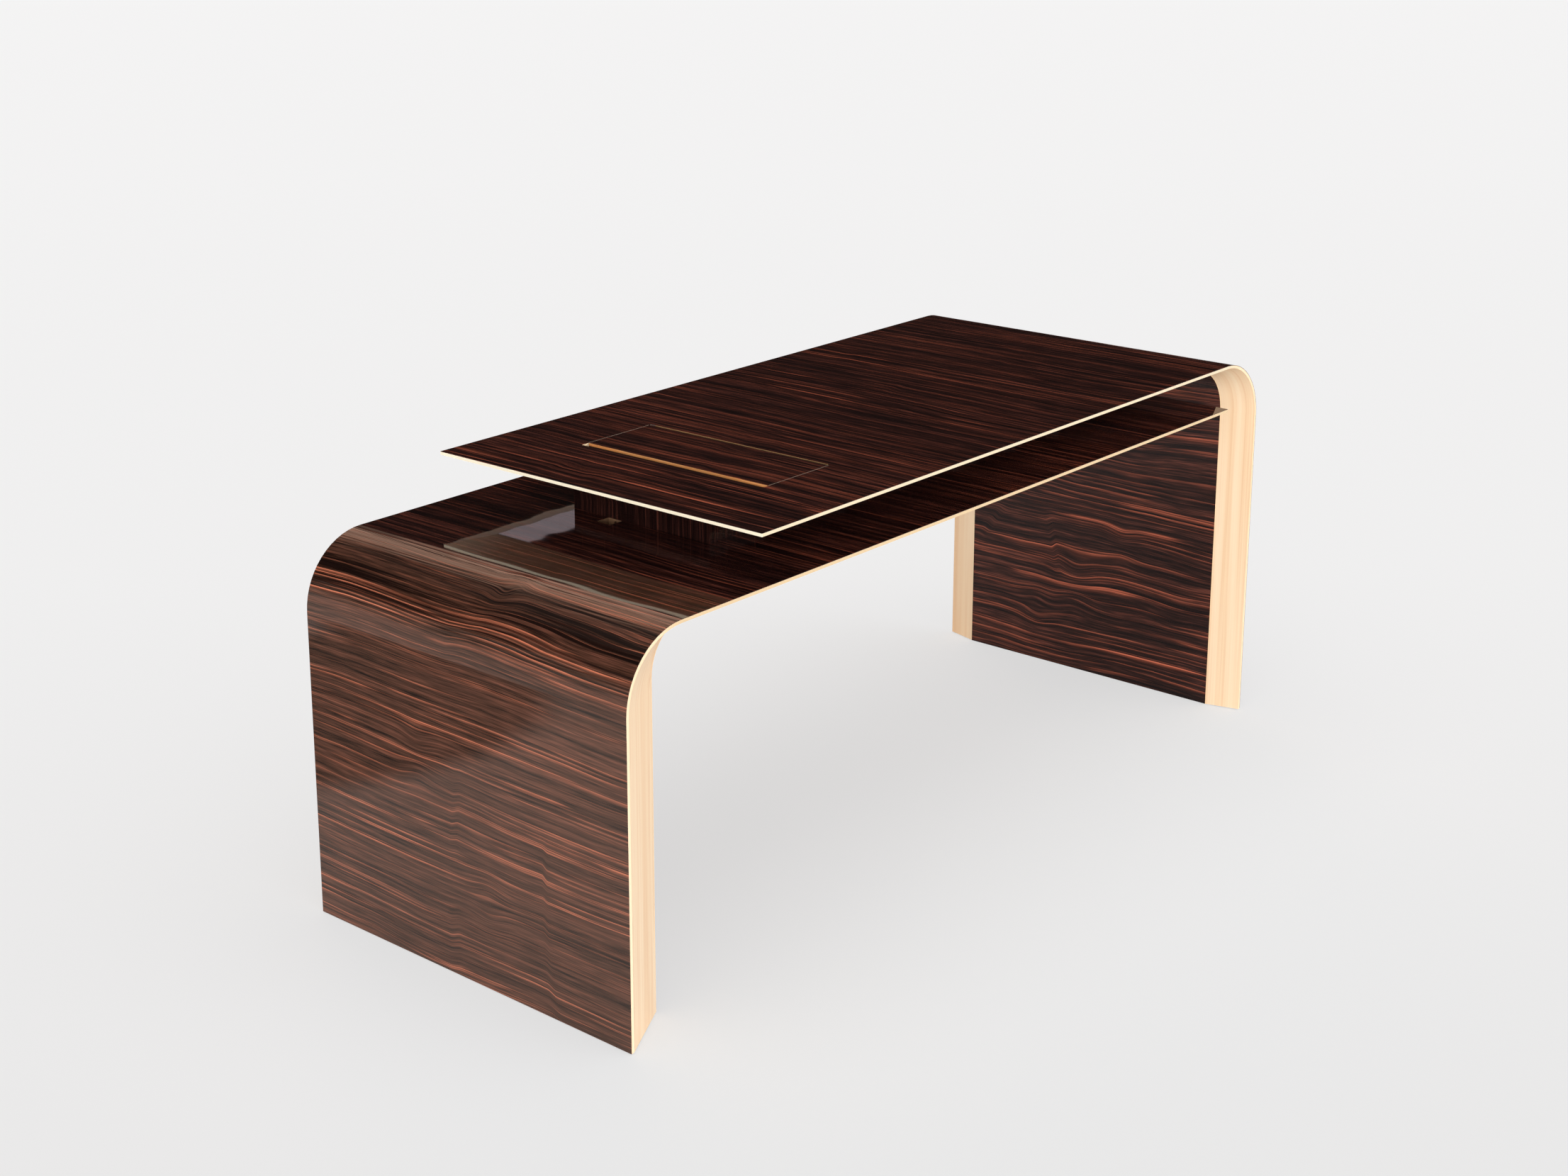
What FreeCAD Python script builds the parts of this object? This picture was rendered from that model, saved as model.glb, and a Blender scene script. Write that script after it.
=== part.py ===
import FreeCAD, Part
import math
import os
import Sketcher
from FreeCAD import Placement, Rotation, Vector

# A writing desk made of two bent shells. The upper shell is the top and the right leg, the lower shell
# is a deck and the left leg, and a long low box stands on the deck and carries the top. Both shells are
# pale laminated cores with a thin edge, bevelled on their inner side, and dark veneer on the faces.
# A flap in the top covers a cable tray in the box.
# Millimetres, +X to the right, +Y to the back, +Z up, origin on the floor under the middle of the desk.

doc = FreeCAD.newDocument("desk")

# Driving dimensions: name, size in mm, meaning
SIZES = [
    ("overall_width", 1800, "between the outer faces of the two legs"),
    ("overall_depth", 706, "front edge to back edge of both shells"),
    ("overall_height", 736, "floor to the top's upper face"),
    ("box_height", 62, "deck's upper face to the top's underside"),
    ("bend_radius", 120, "outer face of each shell at its bend"),
    ("shell_thickness", 24, "full thickness of a shell inside its bevels"),
    ("edge_thickness", 6, "thickness left at a shell's thin edge"),
    ("veneer", 0.8, "thickness of every veneer"),
    ("upper_bevel", 65, "width of the bevel under the upper shell's edges"),
    ("lower_bevel", 57, "width of the bevel under the lower shell's edges"),
    ("top_setback", 300, "left leg's outer face to the top's free end"),
    ("deck_setback", 113, "right leg's outer face to the deck's free end"),
    ("leg_depth", 116, "left leg, outer face to inner face"),
    ("haunch_radius", 80, "inner corner between the left leg and the deck"),
    ("leg_joint_drop", 20, "end of the bend to the top of the left leg's filling"),
    ("leg_rail_width", 85, "front and back rails of the left leg's filling, at the outer side"),
    ("box_setback", 112, "the top's free end to the box's left face"),
    ("box_end_setback", 275, "box's right face to the deck's free end"),
    ("box_depth", 300, "box, front face to back face"),
    ("box_panel", 18, "thickness of the box's panels and dividers"),
    ("tray_length", 230, "cable compartment, inside the box from its left panel"),
    ("flap_setback", 182, "the top's free end to the slot beside the flap"),
    ("opening_width", 172.5, "opening in the top for slot and flap, across the desk"),
    ("opening_length", 400, "opening in the top, front to back"),
    ("slot_width", 18, "finger and cable slot left beside the flap"),
    ("flap_thickness", 10, "flap with its veneer"),
    ("flap_gap", 0.8, "hairline gap at the flap's two ends"),
    ("ledge_width", 24, "ledge under the flap on the hinge side"),
    ("pad_height", 0.5, "felt pads between the flap and its ledges"),
    ("pad_width", 12, "felt pads, square"),
    ("hinge_gap", 3, "gap between flap and top that holds the hinge"),
    ("hinge_rise", 0.3, "hinge axis above the top's upper face"),
    ("leaf_thickness", 0.8, "hinge leaves"),
    ("leaf_height", 8, "hinge leaves, down from the top's upper face"),
    ("leaf_length", 396, "hinge leaves, front to back"),
    ("knuckle_diameter", 2.4, "hinge knuckles"),
    ("pin_diameter", 1.2, "hinge pin"),
    ("pin_clearance", 0.05, "radial running fit of the hinge pin"),
    ("knuckle_gap", 0.4, "between neighbouring hinge knuckles"),
    ("tray_wall", 3, "cable tray"),
    ("tray_clearance", 0.3, "cable tray to the box round it and the top above it"),
    ("outlet_diameter", 50, "cable outlet through the deck"),
    ("outlet_distance", 90, "cable outlet's axis from the inside of the box's left panel"),
    ("grommet_wall", 3, "sleeve of the outlet's grommet"),
    ("grommet_height", 9, "sleeve of the outlet's grommet"),
    ("flange_width", 7, "grommet flange beyond the outlet"),
    ("flange_thickness", 2, "grommet flange"),
    ("pocket_length", 30, "lead pocket in the deck, across the desk"),
    ("pocket_width", 32, "lead pocket in the deck, front to back"),
    ("pocket_depth", 12, "lead pocket in the deck"),
    ("pocket_offset", 55, "lead pocket and outlet, behind the middle of the desk"),
    ("lead_bore", 6, "bore from the lead pocket to the outlet"),
    ("lead_bore_drop", 7, "deck's upper face to the axis of that bore"),
    ("screw_diameter", 6, "screws through the deck into the box"),
    ("screw_length", 60, "screws through the deck into the box"),
    ("screw_head", 12, "countersunk screw heads"),
    ("screw_head_height", 3, "countersunk screw heads"),
    ("screw_inset", 200, "screws from the ends of the box"),
    ("tongue_thickness", 6, "loose tongues in the box's joints"),
    ("tongue_depth", 8, "loose tongues, into each of the two pieces that they join"),
    ("tongue_margin", 40, "tongues under the top, from the ends of the box"),
    ("tongue_clearance", 0.1, "round the loose tongues"),
    ("fastener_clearance", 0.15, "radial, round screws, glide stems and the grommet"),
    ("glide_lift", 2, "floor to the bottom of both legs"),
    ("right_glide", 16, "glide diameter under the right leg"),
    ("left_glide", 40, "glide diameter under the left leg"),
    ("glide_stem", 5, "glide stem diameter"),
    ("glide_stem_length", 14, "glide stem, up into the leg"),
    ("glide_inset", 150, "glide axes from the front and back edges"),
]
KNUCKLE_COUNT = 12

sheet = doc.addObject("Spreadsheet::Sheet", "dims")
for row, (alias, size, meaning) in enumerate(SIZES, start=1):
    sheet.set(f"A{row}", alias)
    sheet.set(f"B{row}", str(size))
    sheet.setAlias(f"B{row}", alias)
    sheet.set(f"C{row}", meaning)
doc.recompute()

# Planes that several pieces share, as expressions on the sheet
LEFT = "(-dims.overall_width / 2)"
RIGHT = "(dims.overall_width / 2)"
FRONT = "(-dims.overall_depth / 2)"
TOP = "dims.overall_height"
UNDERSIDE = "(dims.overall_height - dims.shell_thickness)"
DECK = f"({UNDERSIDE} - dims.box_height)"
DECK_UNDERSIDE = f"({DECK} - dims.shell_thickness)"
TOP_END = f"({LEFT} + dims.top_setback)"
DECK_END = f"({RIGHT} - dims.deck_setback)"
BOX_LEFT = f"({TOP_END} + dims.box_setback)"
BOX_RIGHT = f"({DECK_END} - dims.box_end_setback)"
BOX_BACK = "(dims.box_depth / 2)"
BOX_INNER = "(dims.box_depth / 2 - dims.box_panel)"
TRAY_LEFT = f"({BOX_LEFT} + dims.box_panel)"
TRAY_RIGHT = f"({TRAY_LEFT} + dims.tray_length)"
MIDDLE_DIVIDER = f"(({TRAY_RIGHT} + {BOX_RIGHT} - dims.box_panel) / 2)"
SLOT_LEFT = f"({TOP_END} + dims.flap_setback)"
HINGE_WALL = f"({SLOT_LEFT} + dims.opening_width)"
FLAP_LEFT = f"({SLOT_LEFT} + dims.slot_width)"
FLAP_RIGHT = f"({HINGE_WALL} - dims.hinge_gap)"
FLAP_BOTTOM = f"({TOP} - dims.flap_thickness)"
FLAP_END = "(dims.opening_length / 2 - dims.flap_gap)"
LEDGE = f"({FLAP_BOTTOM} - dims.pad_height)"
HINGE_X = f"({HINGE_WALL} - dims.hinge_gap / 2)"
HINGE_Z = f"({TOP} + dims.hinge_rise)"
OUTLET_X = f"({TRAY_LEFT} + dims.outlet_distance)"
LEG_TOP = f"({DECK} - dims.bend_radius - dims.leg_joint_drop)"

nodes = []


def value(expression):
    """The number that an expression on the sheet stands for."""
    return float(sheet.evalExpression(expression))


def finish(piece, label):
    """Names a finished sub-part and lists it for export."""
    piece.Label = label
    nodes.append(piece)
    return piece


def outline(body, name, corners, plane="XZ_Plane", offset="0"):
    """A closed outline on one of the body's own planes.

    A corner is (across, up). A corner with a radius and a turn starts an arc: turn 1 is anticlockwise,
    and -1 is clockwise.
    """
    sketch = body.newObject("Sketcher::SketchObject", name)
    support = [feature for feature in body.Origin.OriginFeatures if feature.Role == plane][0]
    sketch.AttachmentSupport = [(support, "")]
    sketch.MapMode = "FlatFace"
    sketch.setExpression("AttachmentOffset.Base.z", offset)
    places = [Vector(value(corner[0]), value(corner[1]), 0) for corner in corners]
    edges = []
    for index, corner in enumerate(corners):
        start, end = places[index], places[(index + 1) % len(places)]
        if len(corner) == 2:
            edges.append((sketch.addGeometry(Part.LineSegment(start, end), False), 1, 2))
            continue
        radius, turn = value(corner[2]), corner[3]
        chord = end - start
        rise = math.sqrt(max(radius**2 - chord.Length**2 / 4, 0))
        centre = (start + end) / 2 + Vector(-chord.y, chord.x, 0).normalize() * rise * turn
        first, last = (start, end) if turn > 0 else (end, start)
        angles = [math.atan2(point.y - centre.y, point.x - centre.x) for point in (first, last)]
        arc = Part.ArcOfCircle(Part.Circle(centre, Vector(0, 0, 1), radius), *angles)
        edges.append((sketch.addGeometry(arc, False), *((1, 2) if turn > 0 else (2, 1))))
    for index, corner in enumerate(corners):
        edge, first, _ = edges[index]
        before, _, last = edges[index - 1]
        sketch.addConstraint(Sketcher.Constraint("Coincident", before, last, edge, first))
        bound = [("DistanceX", corner[0]), ("DistanceY", corner[1])]
        for kind, expression in bound:
            limit = Sketcher.Constraint(kind, -1, 1, edge, first, value(expression))
            sketch.setExpression(f"Constraints[{sketch.addConstraint(limit)}]", expression)
        if len(corner) > 2:
            limit = Sketcher.Constraint("Radius", edge, value(corner[2]))
            sketch.setExpression(f"Constraints[{sketch.addConstraint(limit)}]", corner[2])
    return sketch


def pad(body, name, sketch, length):
    """Pads an outline to both sides of its plane."""
    feature = body.newObject("PartDesign::Pad", name)
    feature.Profile = sketch
    feature.SideType = "Symmetric"
    feature.setExpression("Length", length)
    return feature


def pocket_through(body, name, sketch):
    """Cuts an outline through the whole body, to both sides of its plane, and makes sure that it cuts."""
    doc.recompute()
    before = body.Shape.Volume
    feature = body.newObject("PartDesign::Pocket", name)
    feature.Profile = sketch
    feature.SideType = "Symmetric"
    feature.Type = "ThroughAll"
    doc.recompute()
    if body.Shape.Volume > before - 1:
        raise RuntimeError(f"{name} cuts nothing")
    return feature


def board(name, x, y, z):
    """A rectangular board between two expressions on each axis."""
    box = doc.addObject("Part::Box", name)
    for size, axis, (low, high) in zip(("Length", "Width", "Height"), "xyz", (x, y, z)):
        box.setExpression(size, f"({high}) - ({low})")
        box.setExpression(f"Placement.Base.{axis}", low)
    return box


def rod(name, diameter, length, x, y, z, axis="z"):
    """A cylinder that starts at a place and runs along +X, +Y or +Z."""
    cylinder = doc.addObject("Part::Cylinder", name)
    turns = {"x": Rotation(Vector(0, 1, 0), 90), "y": Rotation(Vector(1, 0, 0), -90), "z": Rotation()}
    cylinder.Placement = Placement(Vector(), turns[axis])
    cylinder.setExpression("Radius", f"({diameter}) / 2")
    cylinder.setExpression("Height", length)
    for direction, place in zip("xyz", (x, y, z)):
        cylinder.setExpression(f"Placement.Base.{direction}", place)
    return cylinder


def group(name, pieces):
    """Several objects as one, used as a tool or as a node of separate solids."""
    compound = doc.addObject("Part::Compound", name)
    compound.Links = pieces
    return compound


def cut(name, base, tools):
    """A piece less one or more tools."""
    difference = doc.addObject("Part::Cut", name)
    difference.Base = base
    difference.Tool = tools[0] if len(tools) == 1 else group(f"{name}_tools", tools)
    return difference


def common(name, base, tool):
    """What two pieces share."""
    shared = doc.addObject("Part::Common", name)
    shared.Base = base
    shared.Tool = tool
    return shared


def fuse(name, pieces):
    """Several overlapping pieces as one solid."""
    union = doc.addObject("Part::MultiFuse", name)
    union.Shapes = pieces
    return union


def turned(name, outline_points, places):
    """Equal turned pieces at several places: a half section of (radius, height) expressions about +Z."""
    points = [Vector(value(radius), 0, value(height)) for radius, height in outline_points]
    solid = Part.Face(Part.makePolygon(points + points[:1])).revolve(Vector(), Vector(0, 0, 1), 360)
    copies = []
    for place in places:
        copy = solid.copy()
        copy.translate(Vector(*(value(part) for part in place)))
        copies.append(copy)
    feature = doc.addObject("Part::Feature", name)
    feature.Shape = Part.makeCompound(copies)
    return feature


def upper_band(outer, inner, end):
    """Section of the upper shell between two depths from its outer face, from a free end to the foot."""
    bend = f"({RIGHT} - dims.bend_radius)"
    spring = f"({TOP} - dims.bend_radius)"
    return [
        (end, f"{TOP} - ({outer})"),
        (bend, f"{TOP} - ({outer})", f"dims.bend_radius - ({outer})", -1),
        (f"{RIGHT} - ({outer})", spring),
        (f"{RIGHT} - ({outer})", "dims.glide_lift"),
        (f"{RIGHT} - ({inner})", "dims.glide_lift"),
        (f"{RIGHT} - ({inner})", spring, f"dims.bend_radius - ({inner})", 1),
        (bend, f"{TOP} - ({inner})"),
        (end, f"{TOP} - ({inner})"),
    ]


def lower_band(outer, leg, deck, leg_radius, end):
    """Section of the lower shell: outer depth, then leg and deck thickness and the inner corner's radius."""
    return [
        (end, f"{DECK} - ({outer})"),
        (end, f"{DECK} - ({deck})"),
        (f"{LEFT} + ({leg}) + ({leg_radius})", f"{DECK} - ({deck})", leg_radius, 1),
        (f"{LEFT} + ({leg})", f"{DECK} - ({deck}) - ({leg_radius})"),
        (f"{LEFT} + ({leg})", "dims.glide_lift"),
        (f"{LEFT} + ({outer})", "dims.glide_lift"),
        (f"{LEFT} + ({outer})", f"{DECK} - dims.bend_radius", f"dims.bend_radius - ({outer})", -1),
        (f"{LEFT} + dims.bend_radius", f"{DECK} - ({outer})"),
    ]


def lofted_shell(name, edge_section, full_section, bevel):
    """A bent shell as one ruled loft: thin at the front edge, full inside the bevels, thin at the back."""
    body = doc.addObject("PartDesign::Body", name)
    sections = [
        outline(body, f"{name}_front_edge", edge_section, offset="dims.overall_depth / 2"),
        outline(body, f"{name}_front_full", full_section, offset=f"dims.overall_depth / 2 - {bevel}"),
        outline(body, f"{name}_back_full", full_section, offset=f"{bevel} - dims.overall_depth / 2"),
        outline(body, f"{name}_back_edge", edge_section, offset="-dims.overall_depth / 2"),
    ]
    loft = body.newObject("PartDesign::AdditiveLoft", f"{name}_loft")
    loft.Profile = sections[0]
    loft.Sections = sections[1:]
    loft.Ruled = True
    return body


def bevel_end(body, name, end, face, inward):
    """Bevels the inner side of a shell's free end; inward is the sign of the way into the shell."""
    bevel = "dims.upper_bevel" if inward > 0 else "dims.lower_bevel"
    past = f"{end} - {inward} * dims.shell_thickness"
    foot = f"{face} - 2 * dims.shell_thickness"
    rate = f"((dims.shell_thickness - dims.veneer - dims.edge_thickness) / {bevel})"
    corners = [
        (past, f"{face} - dims.edge_thickness + {rate} * dims.shell_thickness"),
        (f"{end} + {inward} * ({bevel})", f"{face} - dims.shell_thickness + dims.veneer"),
        (f"{end} + {inward} * ({bevel})", foot),
        (past, foot),
    ]
    pocket_through(body, name, outline(body, f"{name}_outline", corners))


def band(name, section, depth):
    """A veneer: a thin section padded across the desk."""
    body = doc.addObject("PartDesign::Body", name)
    pad(body, f"{name}_pad", outline(body, f"{name}_outline", section), depth)
    return body


# Shared tools: the openings that pass through several layers
flap_rebate = board(
    "flap_rebate",
    (SLOT_LEFT, HINGE_WALL),
    ("-dims.opening_length / 2", "dims.opening_length / 2"),
    (LEDGE, f"{TOP} + dims.shell_thickness"),
)
tray_reach = f"({BOX_INNER} - dims.tray_clearance - dims.tray_wall)"
tray_mouth = board(
    "tray_mouth",
    (SLOT_LEFT, f"{HINGE_WALL} - dims.ledge_width"),
    (f"-{tray_reach}", tray_reach),
    (f"{UNDERSIDE} - dims.shell_thickness", f"{TOP} + dims.shell_thickness"),
)
lead_pocket = board(
    "lead_pocket",
    (f"{BOX_LEFT} - dims.pocket_length", BOX_LEFT),
    ("dims.pocket_offset - dims.pocket_width / 2", "dims.pocket_offset + dims.pocket_width / 2"),
    (f"{DECK} - dims.pocket_depth", f"{DECK} + dims.pocket_depth"),
)
lead_bore = rod(
    "lead_bore",
    "dims.lead_bore",
    f"{OUTLET_X} - {BOX_LEFT} + dims.pocket_length / 2",
    f"{BOX_LEFT} - dims.pocket_length / 2",
    "dims.pocket_offset",
    f"{DECK} - dims.lead_bore_drop",
    axis="x",
)
outlet = rod(
    "outlet",
    "dims.outlet_diameter",
    "4 * dims.shell_thickness",
    OUTLET_X,
    "dims.pocket_offset",
    f"{DECK} - 2 * dims.shell_thickness",
)

# Places of the fasteners
screw_rows = [f"({side} * (dims.box_depth - dims.box_panel) / 2)" for side in (-1, 1)]
screw_columns = [f"({BOX_LEFT} + dims.screw_inset)", f"({BOX_RIGHT} - dims.screw_inset)"]
screw_places = [(x, y, DECK_UNDERSIDE) for y in screw_rows for x in screw_columns]
glide_rows = [f"({side} * (dims.overall_depth / 2 - dims.glide_inset))" for side in (-1, 1)]
right_glide_places = [(f"{RIGHT} - dims.shell_thickness / 2", y, "0") for y in glide_rows]
left_glide_places = [(f"{LEFT} + dims.leg_depth / 2 + dims.shell_thickness / 2", y, "0") for y in glide_rows]


def holes(name, diameter, length, places):
    """Clearance holes that start at each place and run up."""
    wide = f"{diameter} + 2 * dims.fastener_clearance"
    return [rod(f"{name}_{index}", wide, length, *place) for index, place in enumerate(places)]


def top_tongues(name, extra):
    """One long tongue for each long panel, half in the panel and half in the top."""
    pieces = []
    for row in screw_rows:
        reach = f"(dims.tongue_thickness / 2 + {extra})"
        pieces.append(
            board(
                f"{name}_{len(pieces)}",
                (f"{BOX_LEFT} + dims.tongue_margin - {extra}", f"{BOX_RIGHT} - dims.tongue_margin + {extra}"),
                (f"{row} - {reach}", f"{row} + {reach}"),
                (f"{UNDERSIDE} - dims.tongue_depth - {extra}", f"{UNDERSIDE} + dims.tongue_depth + {extra}"),
            )
        )
    return pieces


def corner_tongues(name, extra):
    """One upright tongue for each corner of the box, half in the end panel and half in the long panel."""
    pieces = []
    for panel in (BOX_LEFT, f"({BOX_RIGHT} - dims.box_panel)"):
        middle = f"({panel} + dims.box_panel / 2)"
        reach = f"(dims.tongue_thickness / 2 + {extra})"
        for side in (-1, 1):
            depth = f"(dims.tongue_depth + {extra})"
            low = f"{DECK} + dims.tongue_depth - {extra}"
            high = f"{UNDERSIDE} - 2 * dims.tongue_depth + {extra}"
            pieces.append(
                board(
                    f"{name}_{len(pieces)}",
                    (f"{middle} - {reach}", f"{middle} + {reach}"),
                    (f"{side} * {BOX_INNER} - {depth}", f"{side} * {BOX_INNER} + {depth}"),
                    (low, high),
                )
            )
    return pieces


# Upper shell: the top and the right leg in one bent core, with its thin edge and bevels
upper_form = lofted_shell(
    "upper_form",
    upper_band("dims.veneer", "dims.edge_thickness", TOP_END),
    upper_band("dims.veneer", "dims.shell_thickness - dims.veneer", TOP_END),
    "dims.upper_bevel",
)
bevel_end(upper_form, "top_end_bevel", TOP_END, TOP, 1)
tongue_grooves = top_tongues("tongue_groove", "dims.tongue_clearance")
right_stem_holes = holes("right_stem_hole", "dims.glide_stem", "dims.glide_stem_length", right_glide_places)
upper_tools = [flap_rebate, tray_mouth] + tongue_grooves + right_stem_holes
finish(cut("upper_core_cut", upper_form, upper_tools), "upper_core")

# Veneer on the outer face of the upper shell, open at the flap
upper_skin = band("upper_skin", upper_band("0", "dims.veneer", TOP_END), "dims.overall_depth")
finish(cut("upper_skin_cut", upper_skin, [flap_rebate]), "upper_outer_veneer")

# Veneer on the underside of the top and the inner face of the right leg, between the bevels
upper_lining = band(
    "upper_lining",
    upper_band("dims.shell_thickness - dims.veneer", "dims.shell_thickness", f"{TOP_END} + dims.upper_bevel"),
    "dims.overall_depth - 2 * dims.upper_bevel",
)
finish(cut("upper_lining_cut", upper_lining, [tray_mouth] + tongue_grooves), "upper_inner_veneer")

# Lower shell: the deck and the left leg. Its bevel is shallow under the deck and turns steep down the leg.
lower_form = lofted_shell(
    "lower_form",
    lower_band(
        "dims.veneer",
        "dims.edge_thickness",
        "dims.edge_thickness",
        "(dims.bend_radius - dims.edge_thickness)",
        DECK_END,
    ),
    lower_band(
        "dims.veneer",
        "(dims.leg_depth - dims.veneer)",
        "(dims.shell_thickness - dims.veneer)",
        "(dims.haunch_radius + dims.veneer)",
        DECK_END,
    ),
    "dims.lower_bevel",
)
bevel_end(lower_form, "deck_end_bevel", DECK_END, DECK, -1)

# The left leg below its bend is filled between the outer shell and the inner veneer
leg_region = board(
    "leg_region",
    (f"{LEFT} + dims.shell_thickness", f"{LEFT} + 2 * dims.leg_depth"),
    ("-dims.overall_depth", "dims.overall_depth"),
    ("0", LEG_TOP),
)
screw_holes = holes("screw_hole", "dims.screw_diameter", "dims.screw_length", screw_places)
head_holes = []
for index, (x, y, z) in enumerate(screw_places):
    cone = doc.addObject("Part::Cone", f"head_hole_{index}")
    cone.setExpression("Radius1", "dims.screw_head / 2 + dims.fastener_clearance")
    cone.setExpression("Radius2", "dims.screw_diameter / 2 + dims.fastener_clearance")
    cone.setExpression("Height", "dims.screw_head_height")
    for direction, place in zip("xyz", (x, y, z)):
        cone.setExpression(f"Placement.Base.{direction}", place)
    head_holes.append(cone)
lower_tools = [leg_region, lead_pocket, lead_bore, outlet] + screw_holes + head_holes
finish(cut("lower_core_cut", lower_form, lower_tools), "lower_core")

# Left leg's filling: a pale bevelled rail at the front and at the back, and a light core between them
leg_filling = common("leg_filling", lower_form, leg_region)
left_stem_holes = group(
    "left_stem_holes",
    holes("left_stem_hole", "dims.glide_stem", "dims.glide_stem_length", left_glide_places),
)
rail_inner = "(dims.overall_depth / 2 - dims.leg_rail_width)"
leg_bays = [
    ("left_leg_front_rail", "-dims.overall_depth", f"-{rail_inner}"),
    ("left_leg_core", f"-{rail_inner}", rail_inner),
    ("left_leg_back_rail", rail_inner, "dims.overall_depth"),
]
for label, low, high in leg_bays:
    bay = board(f"{label}_bay", (LEFT, f"{LEFT} + 2 * dims.leg_depth"), (low, high), ("0", LEG_TOP))
    piece = common(f"{label}_part", leg_filling, bay)
    if label == "left_leg_core":
        piece = cut(f"{label}_cut", piece, [left_stem_holes])
    finish(piece, label)

# Veneer on the deck and the left leg's outer face
lower_skin = band(
    "lower_skin",
    [
        (DECK_END, DECK),
        (DECK_END, f"{DECK} - dims.veneer"),
        (
            f"{LEFT} + dims.bend_radius",
            f"{DECK} - dims.veneer",
            "dims.bend_radius - dims.veneer",
            1,
        ),
        (f"{LEFT} + dims.veneer", f"{DECK} - dims.bend_radius"),
        (f"{LEFT} + dims.veneer", "dims.glide_lift"),
        (LEFT, "dims.glide_lift"),
        (LEFT, f"{DECK} - dims.bend_radius", "dims.bend_radius", -1),
        (f"{LEFT} + dims.bend_radius", DECK),
    ],
    "dims.overall_depth",
)
finish(cut("lower_skin_cut", lower_skin, [lead_pocket, outlet] + screw_holes), "lower_outer_veneer")

# Veneer under the deck and on the left leg's inner face, between the bevels
haunch_x = f"{LEFT} + dims.leg_depth + dims.haunch_radius"
haunch_z = f"{DECK_UNDERSIDE} - dims.haunch_radius"
lower_lining = band(
    "lower_lining",
    [
        (f"{DECK_END} - dims.lower_bevel", f"{DECK_UNDERSIDE} + dims.veneer"),
        (f"{DECK_END} - dims.lower_bevel", DECK_UNDERSIDE),
        (haunch_x, DECK_UNDERSIDE, "dims.haunch_radius", 1),
        (f"{LEFT} + dims.leg_depth", haunch_z),
        (f"{LEFT} + dims.leg_depth", "dims.glide_lift"),
        (f"{LEFT} + dims.leg_depth - dims.veneer", "dims.glide_lift"),
        (f"{LEFT} + dims.leg_depth - dims.veneer", haunch_z, "dims.haunch_radius + dims.veneer", -1),
        (haunch_x, f"{DECK_UNDERSIDE} + dims.veneer"),
    ],
    "dims.overall_depth - 2 * dims.lower_bevel",
)
finish(cut("lower_lining_cut", lower_lining, [outlet] + screw_holes + head_holes), "lower_inner_veneer")

# Box between the deck and the top
groove_group = group("groove_group", tongue_grooves)
corner_grooves = group("corner_grooves", corner_tongues("corner_groove", "dims.tongue_clearance"))
screw_hole_group = group("screw_hole_group", screw_holes)
long_panels = {"box_front_panel": (f"-{BOX_BACK}", f"-{BOX_INNER}"), "box_back_panel": (BOX_INNER, BOX_BACK)}
for label, y in long_panels.items():
    panel = board(f"{label}_board", (BOX_LEFT, BOX_RIGHT), y, (DECK, UNDERSIDE))
    finish(cut(f"{label}_cut", panel, [corner_grooves, groove_group, screw_hole_group]), label)
cross_panels = {"box_left_panel": BOX_LEFT, "box_right_panel": f"{BOX_RIGHT} - dims.box_panel"}
dividers = {"box_tray_divider": TRAY_RIGHT, "box_middle_divider": MIDDLE_DIVIDER}
for label, low in {**cross_panels, **dividers}.items():
    x = (low, f"{low} + dims.box_panel")
    panel = board(f"{label}_board", x, (f"-{BOX_INNER}", BOX_INNER), (DECK, UNDERSIDE))
    finish(cut(f"{label}_cut", panel, [corner_grooves]) if label in cross_panels else panel, label)
finish(group("top_tongue_group", top_tongues("top_tongue", "0")), "box_top_tongues")
finish(group("corner_tongue_group", corner_tongues("corner_tongue", "0")), "box_corner_tongues")

# Cable tray under the flap, with an outlet through its floor and the deck
tray_x = (f"{TRAY_LEFT} + dims.tray_clearance", f"{TRAY_RIGHT} - dims.tray_clearance")
tray_y = f"({BOX_INNER} - dims.tray_clearance)"
tray_top = f"{UNDERSIDE} - dims.tray_clearance"
tray_block = board("tray_block", tray_x, (f"-{tray_y}", tray_y), (DECK, tray_top))
tray_hollow = board(
    "tray_hollow",
    (f"{tray_x[0]} + dims.tray_wall", f"{tray_x[1]} - dims.tray_wall"),
    (f"-{tray_y} + dims.tray_wall", f"{tray_y} - dims.tray_wall"),
    (f"{DECK} + dims.tray_wall", f"{tray_top} + dims.tray_wall"),
)
finish(cut("cable_tray_cut", tray_block, [tray_hollow, outlet]), "cable_tray")
sleeve_radius = "(dims.outlet_diameter / 2 - dims.fastener_clearance)"
grommet_bore = "(dims.outlet_diameter / 2 - dims.grommet_wall)"
grommet = turned(
    "grommet",
    [
        (grommet_bore, "-dims.flange_thickness"),
        ("dims.outlet_diameter / 2 + dims.flange_width", "-dims.flange_thickness"),
        ("dims.outlet_diameter / 2 + dims.flange_width", "0"),
        (sleeve_radius, "0"),
        (sleeve_radius, "dims.grommet_height"),
        (grommet_bore, "dims.grommet_height"),
    ],
    [(OUTLET_X, "dims.pocket_offset", DECK_UNDERSIDE)],
)
finish(grommet, "cable_grommet")

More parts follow.
